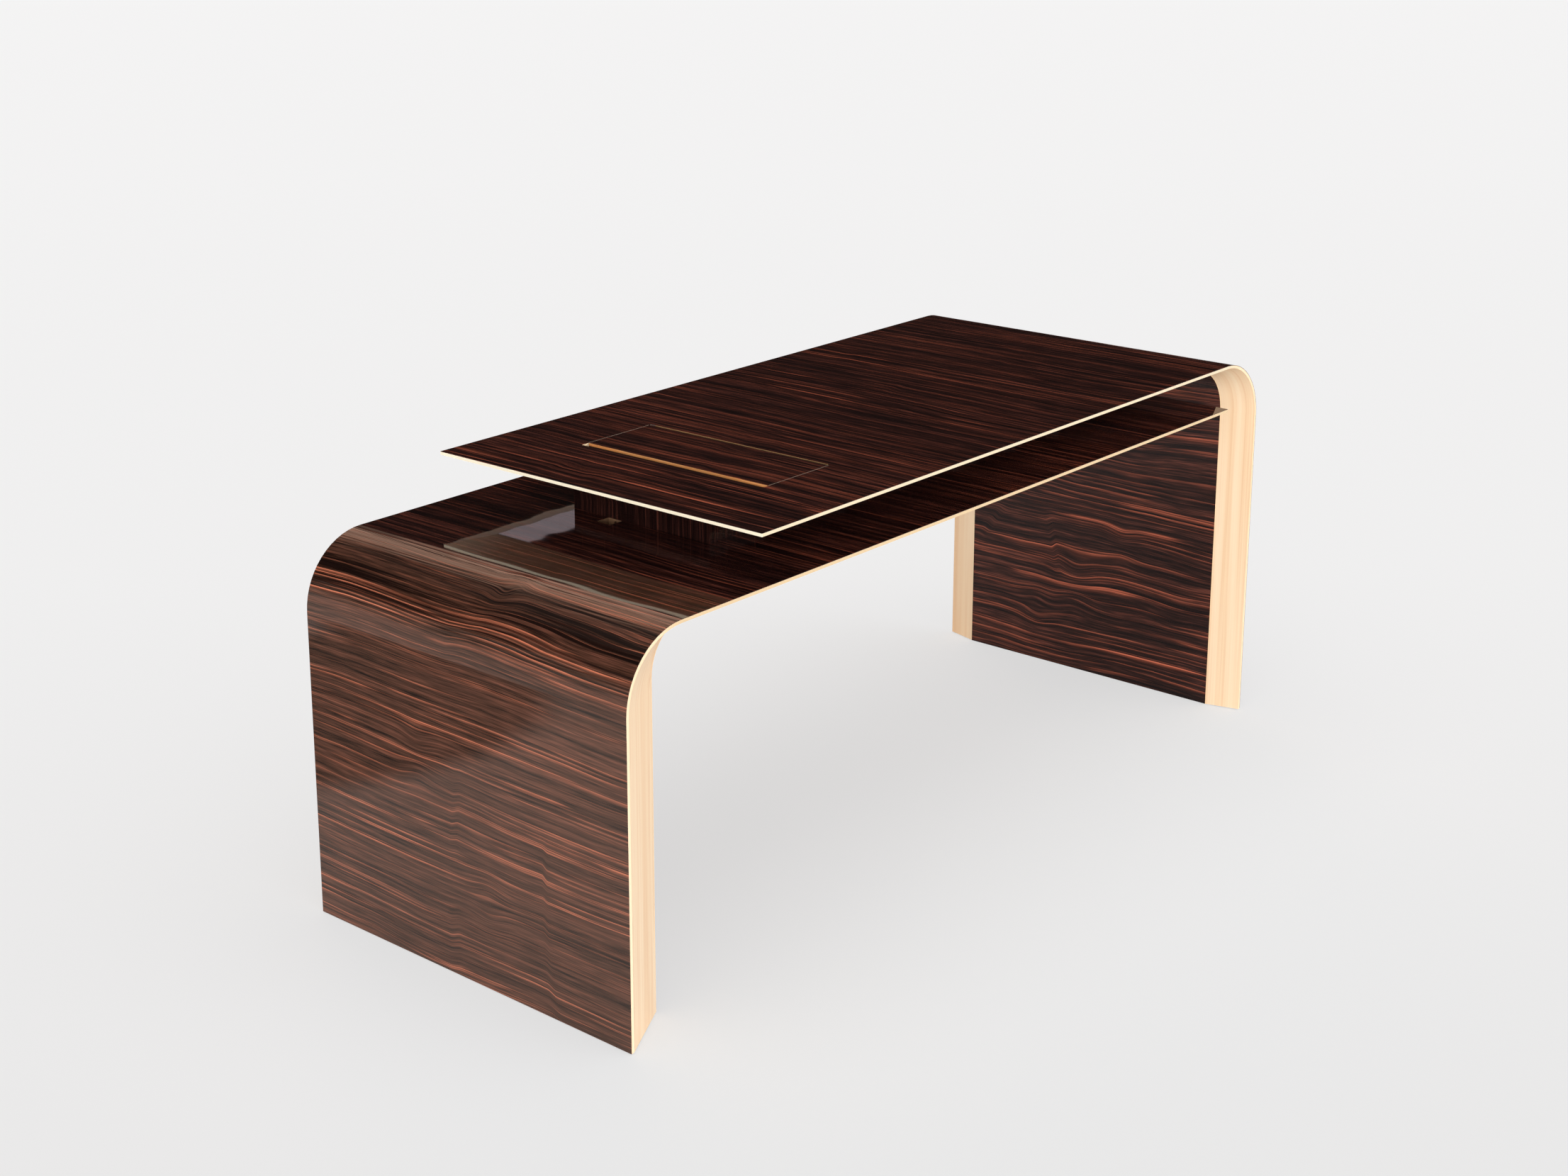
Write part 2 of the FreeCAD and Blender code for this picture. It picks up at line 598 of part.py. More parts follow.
# Flap: a pale core with dark veneer, on felt pads, hung on a piano hinge
flap_x = (FLAP_LEFT, FLAP_RIGHT)
flap_y = (f"-{FLAP_END}", FLAP_END)
flap_face = f"({TOP} - dims.veneer)"
finish(board("flap_board", flap_x, flap_y, (FLAP_BOTTOM, flap_face)), "flap_core")
finish(board("flap_skin", flap_x, flap_y, (flap_face, TOP)), "flap_veneer")
pads = []
for left in (FLAP_LEFT, f"{FLAP_RIGHT} - dims.pad_width"):
    for side in (-1, 1):
        outer = f"({side} * {FLAP_END})"
        inner = f"({side} * ({FLAP_END} - dims.pad_width))"
        y = (outer, inner) if side < 0 else (inner, outer)
        pads.append(board(f"pad_{len(pads)}", (left, f"{left} + dims.pad_width"), y, (LEDGE, FLAP_BOTTOM)))
finish(group("pad_group", pads), "flap_pads")

# Piano hinge: two leaves in the gap, with knuckles in turn on one leaf and the other, and one long pin
hinge_start = "(-dims.leaf_length / 2)"
knuckle_step = f"(dims.leaf_length / {KNUCKLE_COUNT})"
leaf_top = f"({HINGE_Z} - dims.knuckle_diameter / 2 - dims.knuckle_gap)"
tab_foot = f"({leaf_top} - dims.leaf_thickness)"
leaf_sides = {
    "hinge_top_leaf": (f"{HINGE_WALL} - dims.leaf_thickness", HINGE_WALL, 0),
    "hinge_flap_leaf": (FLAP_RIGHT, f"{FLAP_RIGHT} + dims.leaf_thickness", 1),
}
for label, (low, high, first_knuckle) in leaf_sides.items():
    pieces = [
        board(
            f"{label}_plate",
            (low, high),
            (hinge_start, f"{hinge_start} + dims.leaf_length"),
            (f"{TOP} - dims.leaf_height", leaf_top),
        )
    ]
    for index in range(first_knuckle, KNUCKLE_COUNT, 2):
        start = f"({hinge_start} + {index} * {knuckle_step} + dims.knuckle_gap / 2)"
        length = f"({knuckle_step} - dims.knuckle_gap)"
        axis_start = (HINGE_X, start, HINGE_Z)
        tab_y = (start, f"{start} + {length}")
        pieces.append(rod(f"{label}_knuckle_{index}", "dims.knuckle_diameter", length, *axis_start, axis="y"))
        pieces.append(board(f"{label}_tab_{index}", (low, high), tab_y, (tab_foot, HINGE_Z)))
    bore = rod(
        f"{label}_bore",
        "dims.pin_diameter + 2 * dims.pin_clearance",
        "2 * dims.leaf_length",
        HINGE_X,
        "-dims.leaf_length",
        HINGE_Z,
        axis="y",
    )
    finish(cut(f"{label}_cut", fuse(f"{label}_fuse", pieces), [bore]), label)
pin_start = (HINGE_X, hinge_start, HINGE_Z)
finish(rod("pin", "dims.pin_diameter", "dims.leaf_length", *pin_start, axis="y"), "hinge_pin")

# Screws up through the deck into the long panels of the box
deck_screws = turned(
    "screws",
    [
        ("0", "0"),
        ("dims.screw_head / 2", "0"),
        ("dims.screw_diameter / 2", "dims.screw_head_height"),
        ("dims.screw_diameter / 2", "dims.screw_length"),
        ("0", "dims.screw_length"),
    ],
    screw_places,
)
finish(deck_screws, "deck_screws")


def glides(name, diameter, places):
    """Round glides: a disc that stands on the floor and a stem up into the leg."""
    section = [
        ("0", "0"),
        (f"{diameter} / 2", "0"),
        (f"{diameter} / 2", "dims.glide_lift"),
        ("dims.glide_stem / 2", "dims.glide_lift"),
        ("dims.glide_stem / 2", "dims.glide_stem_length"),
        ("0", "dims.glide_stem_length"),
    ]
    return turned(name, section, places)


finish(glides("right_glides", "dims.right_glide", right_glide_places), "right_leg_glides")
finish(glides("left_glides", "dims.left_glide", left_glide_places), "left_leg_glides")

doc.recompute()
for item in doc.Objects:
    if {"Invalid", "Error"} & set(item.State):
        raise RuntimeError(f"{item.Label} failed: {item.State}")
for node in nodes:
    if node.Shape.isNull() or not node.Shape.isValid():
        raise RuntimeError(f"{node.Label} has no valid shape")
os.makedirs("parts", exist_ok=True)
for node in nodes:
    node.Shape.exportStep(f"parts/{node.Label}.step")
    print(f"{node.Label}: {len(node.Shape.Solids)} solids, {node.Shape.Volume / 1000:.1f} cm3")
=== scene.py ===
# %% [markdown]
# # A writing desk of two bent, veneered shells
# The desk is two gloss shells, each a flat board that turns down into one leg. They meet only through a
# low box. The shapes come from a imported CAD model, so this lesson is mostly about finishes: a striped
# dark veneer that follows the bends, pale laminated edges, a fine hinge, and the soft light that lets
# gloss look like gloss.

# %% Load the frame
import math

import bpy
from mathutils import Matrix, Vector


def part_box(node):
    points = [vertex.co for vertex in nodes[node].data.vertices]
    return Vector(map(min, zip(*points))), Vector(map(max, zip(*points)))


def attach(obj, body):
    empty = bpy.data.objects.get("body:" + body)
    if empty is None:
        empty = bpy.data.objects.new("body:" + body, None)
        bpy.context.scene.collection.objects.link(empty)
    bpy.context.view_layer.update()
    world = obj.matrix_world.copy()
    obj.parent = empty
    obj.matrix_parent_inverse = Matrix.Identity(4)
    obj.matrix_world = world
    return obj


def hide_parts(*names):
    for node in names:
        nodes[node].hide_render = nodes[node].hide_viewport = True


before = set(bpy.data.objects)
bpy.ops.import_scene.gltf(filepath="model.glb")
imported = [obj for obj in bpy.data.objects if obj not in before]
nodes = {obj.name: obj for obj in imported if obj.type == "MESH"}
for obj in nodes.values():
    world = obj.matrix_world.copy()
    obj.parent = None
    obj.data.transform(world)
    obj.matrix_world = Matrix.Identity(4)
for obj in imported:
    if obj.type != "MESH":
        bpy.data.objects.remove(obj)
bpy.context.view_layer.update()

# %% [markdown]
# ## Helpers for node trees
# Every finish below is a tree of shader nodes. Written out in full, the trees would hide the idea in the
# plumbing, so a few helpers do it: they feed a socket, add a node, and do a step of arithmetic. Two more
# make and use a group, which is a tree that other trees can hold as one node.

# %% Helpers for node trees
def feed(tree, socket, value):
    """Link another socket to this one, or set a plain value on it."""
    if isinstance(value, bpy.types.NodeSocket):
        tree.links.new(value, socket)
    else:
        socket.default_value = value


def add(tree, kind, inputs=None, **properties):
    """Add a node, set its properties, then feed its inputs by name."""
    made = tree.nodes.new(kind)
    for name, value in properties.items():
        setattr(made, name, value)
    for name, value in (inputs or {}).items():
        feed(tree, made.inputs[name], value)
    return made


def calc(tree, operation, *values):
    """One Math node, and the socket of its result."""
    made = add(tree, "ShaderNodeMath", operation=operation)
    for socket, value in zip(made.inputs, values):
        feed(tree, socket, value)
    return made.outputs[0]


def new_group(name, inputs, outputs):
    """An empty shader group of number sockets, with what it is given and what it hands back."""
    group = bpy.data.node_groups.new(name, "ShaderNodeTree")
    for label, value in inputs.items():
        socket = group.interface.new_socket(label, in_out="INPUT", socket_type="NodeSocketFloat")
        socket.default_value = value
    for label in outputs:
        group.interface.new_socket(label, in_out="OUTPUT", socket_type="NodeSocketFloat")
    return group, group.nodes.new("NodeGroupInput").outputs, group.nodes.new("NodeGroupOutput").inputs


def use_group(tree, group, **inputs):
    """Put a group in a tree and feed its inputs, whose names are single words."""
    made = add(tree, "ShaderNodeGroup", node_tree=group)
    for name, value in inputs.items():
        feed(tree, made.inputs[name], value)
    return made.outputs


print("helpers ready")

# %% [markdown]
# ## Where a point lies on a bent sheet
# A veneer is cut flat and then pressed round the bend, so its stripes run on over the bend without
# stretching. If the pattern read plain X and Z, it would smear on the way down. A group of Math nodes
# unrolls the sheet instead: Across is the distance walked over the bend, Along is the depth of the desk,
# and Depth is how far a point lies under the outer face. The same group serves both shells, because the
# left one is the right one mirrored.

# %% Unroll a bent sheet
unrolled, given, result = new_group(
    "unrolled_sheet",
    {"Side": 1.0, "End": 0.9, "Top": 0.736, "Radius": 0.12},
    ["Across", "Along", "Depth"],
)
place = add(unrolled, "ShaderNodeTexCoord").outputs["Object"]
x, y, z = add(unrolled, "ShaderNodeSeparateXYZ", {"Vector": place}).outputs
outward = calc(unrolled, "MULTIPLY", x, given["Side"])
past_bend = calc(unrolled, "SUBTRACT", outward, calc(unrolled, "SUBTRACT", given["End"], given["Radius"]))
over_bend = calc(unrolled, "SUBTRACT", z, calc(unrolled, "SUBTRACT", given["Top"], given["Radius"]))
right_of_centre = calc(unrolled, "MAXIMUM", past_bend, 0.0)
above_centre = calc(unrolled, "MAXIMUM", over_bend, 0.0)
angle = calc(unrolled, "ARCTAN2", right_of_centre, above_centre)
run = calc(unrolled, "MINIMUM", past_bend, 0.0)
drop = calc(unrolled, "MAXIMUM", calc(unrolled, "MULTIPLY", over_bend, -1.0), 0.0)
arc = calc(unrolled, "MULTIPLY", angle, given["Radius"])
feed(unrolled, result["Across"], calc(unrolled, "ADD", calc(unrolled, "ADD", run, arc), drop))
feed(unrolled, result["Along"], y)
sideways_square = calc(unrolled, "POWER", right_of_centre, 2.0)
upward_square = calc(unrolled, "POWER", above_centre, 2.0)
from_centre = calc(unrolled, "SQRT", calc(unrolled, "ADD", sideways_square, upward_square))
feed(unrolled, result["Depth"], calc(unrolled, "SUBTRACT", given["Radius"], from_centre))
print("unrolled sheet group:", len(unrolled.nodes), "nodes")

# %% [markdown]
# ## The four veneer sheets
# Each sheet is described by the side it turns down on, where it ends, how high it lies and how tight it
# bends. The ends and heights are read from the CAD nodes, so the pattern lies where the shape is. Only
# the radii are given here.

# %% Describe the sheets
OUTER_RADIUS = 0.120
UPPER_INNER_RADIUS = 0.096
LOWER_INNER_RADIUS = 0.080


def sheet_of(node, side, radius):
    """The bend of a sheet: the side it turns down on, its end, its height and its radius."""
    low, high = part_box(node)
    return {"Side": float(side), "End": high.x if side > 0 else -low.x, "Top": high.z, "Radius": radius}


UPPER_OUTER = sheet_of("upper_outer_veneer", 1, OUTER_RADIUS)
LOWER_OUTER = sheet_of("lower_outer_veneer", -1, OUTER_RADIUS)
UPPER_INNER = sheet_of("upper_inner_veneer", 1, UPPER_INNER_RADIUS)
LOWER_INNER = sheet_of("lower_inner_veneer", -1, LOWER_INNER_RADIUS)
for title, sheet in {"upper": UPPER_OUTER, "lower": LOWER_OUTER}.items():
    print(title, {key: round(value, 4) for key, value in sheet.items()})

# %% [markdown]
# ## Noise along the grain
# The veneer is nearly black, with rust-red streaks that run the depth of the desk. A wave texture would
# give streaks too regular for wood, so they start from noise, squeezed across the grain and stretched
# along it.

# %% Noise along the grain
def stretched_noise(tree, across, along, seed, across_scale, along_scale, detail=2.0, roughness=0.5):
    """Noise with its own scale across and along the grain, from 0 to 1."""
    squeezed = add(tree, "ShaderNodeCombineXYZ", {
        "X": calc(tree, "MULTIPLY", across, across_scale),
        "Y": calc(tree, "MULTIPLY", along, along_scale),
        "Z": seed,
    })
    made = add(tree, "ShaderNodeTexNoise", {
        "Vector": squeezed.outputs[0], "Scale": 1.0, "Detail": detail, "Roughness": roughness,
    })
    return made.outputs["Fac"]


def shifted(tree, value, amount):
    """The value plus another one."""
    return calc(tree, "ADD", value, amount)


def eased(tree, value, start, stop):
    """0 at start and 1 at stop, with a soft change between them. Start may be the larger."""
    turned = start > stop
    low, high = (1.0, 0.0) if turned else (0.0, 1.0)
    return add(tree, "ShaderNodeMapRange", {
        "Value": value, "From Min": min(start, stop), "From Max": max(start, stop),
        "To Min": low, "To Max": high,
    }, interpolation_type="SMOOTHSTEP").outputs[0]


def scaled_range(tree, value, low, high):
    """Spread a value that runs from 0 to 1 over low to high."""
    return add(tree, "ShaderNodeMapRange", {"Value": value, "To Min": low, "To Max": high}).outputs[0]


print("noise helpers ready")

# %% [markdown]
# ## Bending the grain
# Real streaks are never straight: they drift, wander, and step aside together where the tree had a
# crease. So the place is moved a little across the grain before any streak is read from it.

# %% Bend the grain
NOISE_MIDDLE = 0.5
DRIFT_MOVE = 0.075
WANDER_MOVE = 0.014
STEP_MOVE = 0.011
CREASE_EDGE = (0.484, 0.516)
CREASE_ZONE = (0.45, 0.62)

bent_grain, given, result = new_group(
    "bent_grain", {"Across": 0.0, "Along": 0.0, "Seed": 0.0, "Wave": 1.0}, ["Across"])
across, along, seed = given["Across"], given["Along"], given["Seed"]
drift = stretched_noise(bent_grain, across, along, seed, 2.2, 1.4, detail=1.0)
wander = stretched_noise(bent_grain, across, along, shifted(bent_grain, seed, 7.3), 9.0, 4.0)
crease = stretched_noise(bent_grain, across, along, shifted(bent_grain, seed, 13.1), 1.1, 2.6, detail=1.0)
local = stretched_noise(bent_grain, across, along, shifted(bent_grain, seed, 17.9), 5.0, 2.0, detail=1.0)
step = calc(
    bent_grain, "MULTIPLY",
    eased(bent_grain, crease, *CREASE_EDGE), eased(bent_grain, local, *CREASE_ZONE))
moves = calc(bent_grain, "MULTIPLY", shifted(bent_grain, drift, -NOISE_MIDDLE), DRIFT_MOVE)
moves = calc(bent_grain, "MULTIPLY_ADD", shifted(bent_grain, wander, -NOISE_MIDDLE), WANDER_MOVE, moves)
moves = calc(bent_grain, "MULTIPLY_ADD", step, STEP_MOVE, moves)
feed(bent_grain, result["Across"], calc(bent_grain, "MULTIPLY_ADD", moves, given["Wave"], across))
print("bent grain group:", len(bent_grain.nodes), "nodes")

# %% [markdown]
# ## Streaks
# A streak in this wood is one growth ring cut at a slant: a crisp edge on one side that fades out on the
# other. So the main streaks are rings. The place is counted in rings of uneven width, each ring gets its
# own strength by chance, and inside a ring the colour jumps up and dies away. Rings is how many there are
# to a metre, Fall is how soon they fade, and Sparse is the share of chance below which a ring stays dark.

# %% Rings of the veneer
SPARSE = 0.25
UNEVEN_RINGS = 3.0
COMES_AND_GOES = (0.38, 0.62)
THINNEST = 0.04
CRISP_EDGE = 0.08
FAINTEST = 0.25
VANISHING = (0.02, 0.10)

rings, given, result = new_group(
    "growth_rings",
    {"Across": 0.0, "Along": 0.0, "Seed": 0.0, "Rings": 80.0, "Fall": 5.0, "Sparse": SPARSE},
    ["Ring"],
)
across, along, seed = given["Across"], given["Along"], given["Seed"]
rate = given["Rings"]
counted = calc(rings, "MULTIPLY", across, rate)
uneven = stretched_noise(rings, counted, along, shifted(rings, seed, 21.0), 0.3, 0.5, detail=1.0)
count = calc(rings, "MULTIPLY_ADD", across, rate, calc(rings, "MULTIPLY", uneven, UNEVEN_RINGS))
number = calc(rings, "FLOOR", count)
inside = calc(rings, "FRACT", count)
chance = add(rings, "ShaderNodeTexWhiteNoise", {
    "W": calc(rings, "ADD", number, seed)}, noise_dimensions="1D")
presence = stretched_noise(rings, number, along, shifted(rings, seed, 27.0), 3.7, 3.4)
picked = add(rings, "ShaderNodeMapRange", {
    "Value": chance.outputs["Value"], "From Min": given["Sparse"],
}, interpolation_type="SMOOTHSTEP").outputs[0]
strength = calc(rings, "MULTIPLY", picked, eased(rings, presence, *COMES_AND_GOES))
width = calc(rings, "MAXIMUM", strength, THINNEST)
fall = calc(rings, "DIVIDE", calc(rings, "MULTIPLY", inside, given["Fall"]), width)
fade = calc(rings, "EXPONENT", calc(rings, "MULTIPLY", fall, -1.0))
rise = eased(rings, inside, 0.0, CRISP_EDGE)
level = calc(rings, "MULTIPLY_ADD", strength, 1.0 - FAINTEST, FAINTEST)
level = calc(rings, "MULTIPLY", level, eased(rings, strength, *VANISHING))
feed(rings, result["Ring"], calc(rings, "MULTIPLY", calc(rings, "MULTIPLY", rise, fade), level))
print("ring group:", len(rings.nodes), "nodes")

# %% [markdown]
# The veneer shows rings at two sizes: the main streaks, and four times finer ones between them. Broad
# zones of the sheet are richer or poorer in streaks. The ground between them is fine noise lines and
# hair-thin fibres.

# %% Streaks of the veneer
FINER = 4.0
FINER_FALL = 2.2
FINER_LEVEL = 0.45
MAIN_LEVEL = 0.50
MAIN_WITH_FINER = 1.8
ZONE_EDGE = (0.36, 0.60)
ZONE_RANGE = (0.45, 1.15)
FIBRE_RANGE = (0.35, 1.65)
FIBRE_SHARE = 0.4

streaks, given, result = new_group(
    "veneer_streaks",
    {"Across": 0.0, "Along": 0.0, "Seed": 0.0, "Rings": 80.0, "Fall": 5.0, "Sparse": SPARSE},
    ["Streak", "Ground", "Fibre"],
)
across, along, seed = given["Across"], given["Along"], given["Seed"]
main = use_group(
    streaks, rings, Across=across, Along=along, Seed=seed,
    Rings=given["Rings"], Fall=given["Fall"], Sparse=given["Sparse"])[0]
finer = use_group(
    streaks, rings, Across=across, Along=along, Seed=shifted(streaks, seed, 5.7),
    Rings=calc(streaks, "MULTIPLY", given["Rings"], FINER), Fall=FINER_FALL)[0]
zone = stretched_noise(streaks, across, along, shifted(streaks, seed, 33.0), 11.0, 0.9)
fibre = stretched_noise(streaks, across, along, shifted(streaks, seed, 51.0), 480.0, 16.0)
lines = stretched_noise(
    streaks, across, along, shifted(streaks, seed, 41.0), 150.0, 1.8, detail=3.0, roughness=0.6)
bundle = calc(streaks, "MULTIPLY", main, calc(streaks, "MULTIPLY_ADD", finer, MAIN_WITH_FINER, MAIN_LEVEL))
both = calc(streaks, "MULTIPLY_ADD", finer, FINER_LEVEL, bundle)
rich = scaled_range(streaks, eased(streaks, zone, *ZONE_EDGE), *ZONE_RANGE)
broken = scaled_range(streaks, fibre, *FIBRE_RANGE)
ground = calc(streaks, "MULTIPLY", lines, 1.0 - FIBRE_SHARE)
ground = calc(streaks, "MULTIPLY_ADD", fibre, FIBRE_SHARE, ground)
feed(streaks, result["Streak"], calc(streaks, "MULTIPLY", calc(streaks, "MULTIPLY", both, rich), broken))
feed(streaks, result["Ground"], ground)
feed(streaks, result["Fibre"], fibre)
print("streak group:", len(streaks.nodes), "nodes")

# %% [markdown]
# ## Knots
# A few knots gather the streaks and let them go again. Each knot pulls the across-grain place towards its
# centre or pushes it away, strongest near it and nothing well beyond its reach. A pull pinches the
# streaks into a waist, and a push lets them swing round an eye.

# %% Push the grain round a knot
knot, given, result = new_group(
    "knot",
    {"Across": 0.0, "Along": 0.0, "Row": 0.0, "Column": 0.0, "Reach": 0.05, "Push": 0.01},
    ["Across"],
)
off_row = calc(knot, "DIVIDE", calc(knot, "SUBTRACT", given["Across"], given["Row"]), given["Reach"])
off_column = calc(knot, "DIVIDE", calc(knot, "SUBTRACT", given["Along"], given["Column"]), given["Reach"])
far = calc(knot, "ADD", calc(knot, "POWER", off_row, 2.0), calc(knot, "POWER", off_column, 2.0))
fade = calc(knot, "EXPONENT", calc(knot, "MULTIPLY", far, -1.0))
push = calc(knot, "MULTIPLY", calc(knot, "MULTIPLY", off_row, fade), given["Push"])
feed(knot, result["Across"], calc(knot, "SUBTRACT", given["Across"], push))
print("knot group:", len(knot.nodes), "nodes")

# %% [markdown]
# ## Colours of the veneer
# The ground of the wood goes from black-brown to a dull red, and the streaks are laid on it in rust.
# Where a sheet is painted lighter, a painted light on the bend and down the leg, a share of a lighter
# ground is mixed in. Colour ramps turn the noise into these colours, which are written as linear light.

# %% Colours of the veneer
GROUND_STOPS = (
    (0.40, (0.0075, 0.0030, 0.0029)),
    (0.49, (0.0150, 0.0054, 0.0049)),
    (0.56, (0.0400, 0.0128, 0.0097)),
    (0.63, (0.1000, 0.0295, 0.0205)),
    (0.72, (0.2000, 0.0560, 0.0360)),
)
# Painted light: a lighter ground for where a sheet is painted as more strongly lit.
PAINTED_LIGHT_STOPS = (
    (0.37, (0.0090, 0.0040, 0.0025)),
    (0.43, (0.0440, 0.0185, 0.0105)),
    (0.50, (0.0760, 0.0325, 0.0198)),
    (0.60, (0.1350, 0.0540, 0.0330)),
    (0.72, (0.2300, 0.0880, 0.0560)),
)
STREAK_COLOUR = (0.620, 0.155, 0.082, 1.0)
# Painted light: a warmer streak colour for the deck's leg, where it is lit more strongly.
PAINTED_LIGHT_STREAK_COLOUR = (0.650, 0.195, 0.104, 1.0)
BLACK_BROWN = (0.006, 0.0026, 0.0023, 1.0)


def colour_ramp(tree, factor, stops):
    """A colour ramp from (place, linear colour) stops."""
    made = add(tree, "ShaderNodeValToRGB", {"Fac": factor})
    ramp = made.color_ramp.elements
    while len(ramp) < len(stops):
        ramp.new(1.0)
    for element, (position, colour) in zip(ramp, stops):
        element.position = position
        element.color = (*colour, 1.0)
    return made.outputs["Color"]


def mixed(tree, factor, first, second):
    """A colour between two colours."""
    made = add(tree, "ShaderNodeMix", data_type="RGBA")
    for socket, value in zip((made.inputs[0], made.inputs[6], made.inputs[7]), (factor, first, second)):
        feed(tree, socket, value)
    return made.outputs[2]


def streak_colour(tree, made, glow, painted_light, streak):
    """The ground colour of the veneer with its streaks laid on it, and a share of lighter ground mixed in as
    painted light.
    """
    ground = colour_ramp(tree, made["Ground"], GROUND_STOPS)
    lighter = colour_ramp(tree, made["Ground"], PAINTED_LIGHT_STOPS)
    ground = mixed(tree, painted_light, ground, lighter)
    amount = calc(tree, "MINIMUM", calc(tree, "MULTIPLY", made["Streak"], glow), 1.0)
    return mixed(tree, amount, ground, streak)


print("ground colours:", len(GROUND_STOPS), "and lighter ones:", len(PAINTED_LIGHT_STOPS))

# %% [markdown]
# ## Lacquer over the bend
# The finish is a thick clear lacquer, rubbed until it mirrors. A slow, shallow bump makes mirror images
# waver as they do on a hand-made panel. Over the bend, where the sheet was forced round, fine ridges
# along the grain break the reflection into flow lines. There the streaks are also painted brighter, a
# painted sheen, and thin dark lines are laid along the grain.

# %% Lacquer over the bend
BEND_BEGINS = (0.004, 0.025)
BEND_ENDS = (0.02, -0.08)
BEND_LINE_EDGE = (0.51, 0.43)
RIDGE_HEIGHT = 3.0
RIPPLE_DEPTH = 0.0006


def bend_zone(tree, across, bend_length):
    """1 on the bend of a sheet and 0 on its flat parts."""
    begun = eased(tree, across, *BEND_BEGINS)
    return calc(tree, "MULTIPLY", begun, eased(tree, across, *(bend_length + end for end in BEND_ENDS)))


def bend_dark_lines(tree, across, along, seed, zone):
    """Thin dark lines along the grain on the bend."""
    lines = stretched_noise(tree, across, along, seed + 87.0, 240.0, 1.6, roughness=0.6)
    return calc(tree, "MULTIPLY", eased(tree, lines, *BEND_LINE_EDGE), zone)


def lacquer_ripple(tree, across, along, seed, zone):
    """The normal of the lacquer: a slow swell everywhere, and ridges along the grain on the bend."""
    swell = stretched_noise(tree, across, along, seed + 71.0, 13.0, 5.0, detail=1.0)
    ridges = stretched_noise(tree, across, along, seed + 79.0, 95.0, 1.8, detail=3.0, roughness=0.55)
    height = calc(tree, "MULTIPLY_ADD", calc(tree, "MULTIPLY", ridges, zone), RIDGE_HEIGHT, swell)
    return add(tree, "ShaderNodeBump", {
        "Height": height, "Strength": 1.0, "Distance": RIPPLE_DEPTH}).outputs[0]


print("ripple of the lacquer:", 1000 * RIPPLE_DEPTH, "mm")

# %% [markdown]
# ## Pale hairlines and cut edges
# The two ends of the flap have a pale hairline along them. And where the bevel was planed, the inner
# sheets are cut through and show their pale wood. The first is found by its place, the second by the way
# the surface faces.

# %% Worn and cut edges
ARRIS_LINE_COLOUR = (0.50, 0.390, 0.310, 1.0)
ARRIS = 0.0009
CUT_COLOUR = (0.800, 0.540, 0.310, 1.0)
CUT_SLOPE = 0.15
RUN_END = UPPER_OUTER["End"] - UPPER_OUTER["Radius"]
flap_low, flap_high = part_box("flap_veneer")


def pale_arris_line(tree, across, along, fibre, colour):
    """A paler hairline along both ends of the flap."""
    middle, half = (flap_low.x + flap_high.x) / 2 - RUN_END, (flap_high.x - flap_low.x) / 2
    beside = calc(tree, "COMPARE", across, middle, half)
    at_end = calc(tree, "COMPARE", calc(tree, "ABSOLUTE", along), flap_high.y, ARRIS)
    pale_line = calc(tree, "MULTIPLY", calc(tree, "MULTIPLY", beside, at_end), fibre)
    return mixed(tree, pale_line, colour, ARRIS_LINE_COLOUR)


def cut_edge(tree):
    """1 on the thin edge where a sheet was planed off with the bevel, and 0 on its faces."""
    normal = add(tree, "ShaderNodeNewGeometry").outputs["True Normal"]
    sideways = add(tree, "ShaderNodeSeparateXYZ", {"Vector": normal}).outputs["Y"]
    return calc(tree, "GREATER_THAN", calc(tree, "ABSOLUTE", sideways), CUT_SLOPE)


print("flap from", round(1000 * flap_low.x), "to", round(1000 * flap_high.x), "mm")

# %% [markdown]
# ## Gloss veneer
# Now the parts come together: knots and bends move the place, streaks are read there, and the lacquer is
# the shader's own smooth reflection. Each sheet has a look of its own, a few named numbers, so that one
# function can finish them all. On the flat board the streaks may be painted dimmer, a painted shade under
# the top. Down the bend they may be painted brighter and warmer on a lighter ground, a painted light.

# %% Gloss veneer
LACQUER_IOR = 1.6
LACQUER_ROUGHNESS = (0.02, 0.06)
CLEAR = (1.0, 1.0, 1.0, 1.0)
# Painted light: where the lighter ground begins, and how it rises over the bend.
PAINTED_LIGHT_BEGINS = 0.02
PAINTED_LIGHT_ON_BEND = 0.85
PAINTED_LIGHT_RISE = (0.5, 1.1)
# Painted light: how far down the bend the streaks reach their full brightness.
STREAK_LIGHT_RISE = 0.4
NO_BEND = -9.0


def new_material(name):
    """A material with an empty principled shader, its tree and that shader's inputs."""
    material = bpy.data.materials.new(name)
    material.use_nodes = True
    tree = material.node_tree
    tree.nodes.clear()
    shader = add(tree, "ShaderNodeBsdfPrincipled")
    add(tree, "ShaderNodeOutputMaterial", {"Surface": shader.outputs[0]})
    return material, tree, shader.inputs


def painted_light_share(tree, across, bend_length):
    """The share of lighter ground, a painted light: none on the flat board, most on the bend, all below it.
    """
    down_the_bend = eased(tree, across, *(share * bend_length for share in PAINTED_LIGHT_RISE))
    painted_light = scaled_range(tree, down_the_bend, PAINTED_LIGHT_ON_BEND, 1.0)
    return calc(tree, "MULTIPLY", eased(tree, across, 0.0, PAINTED_LIGHT_BEGINS), painted_light)


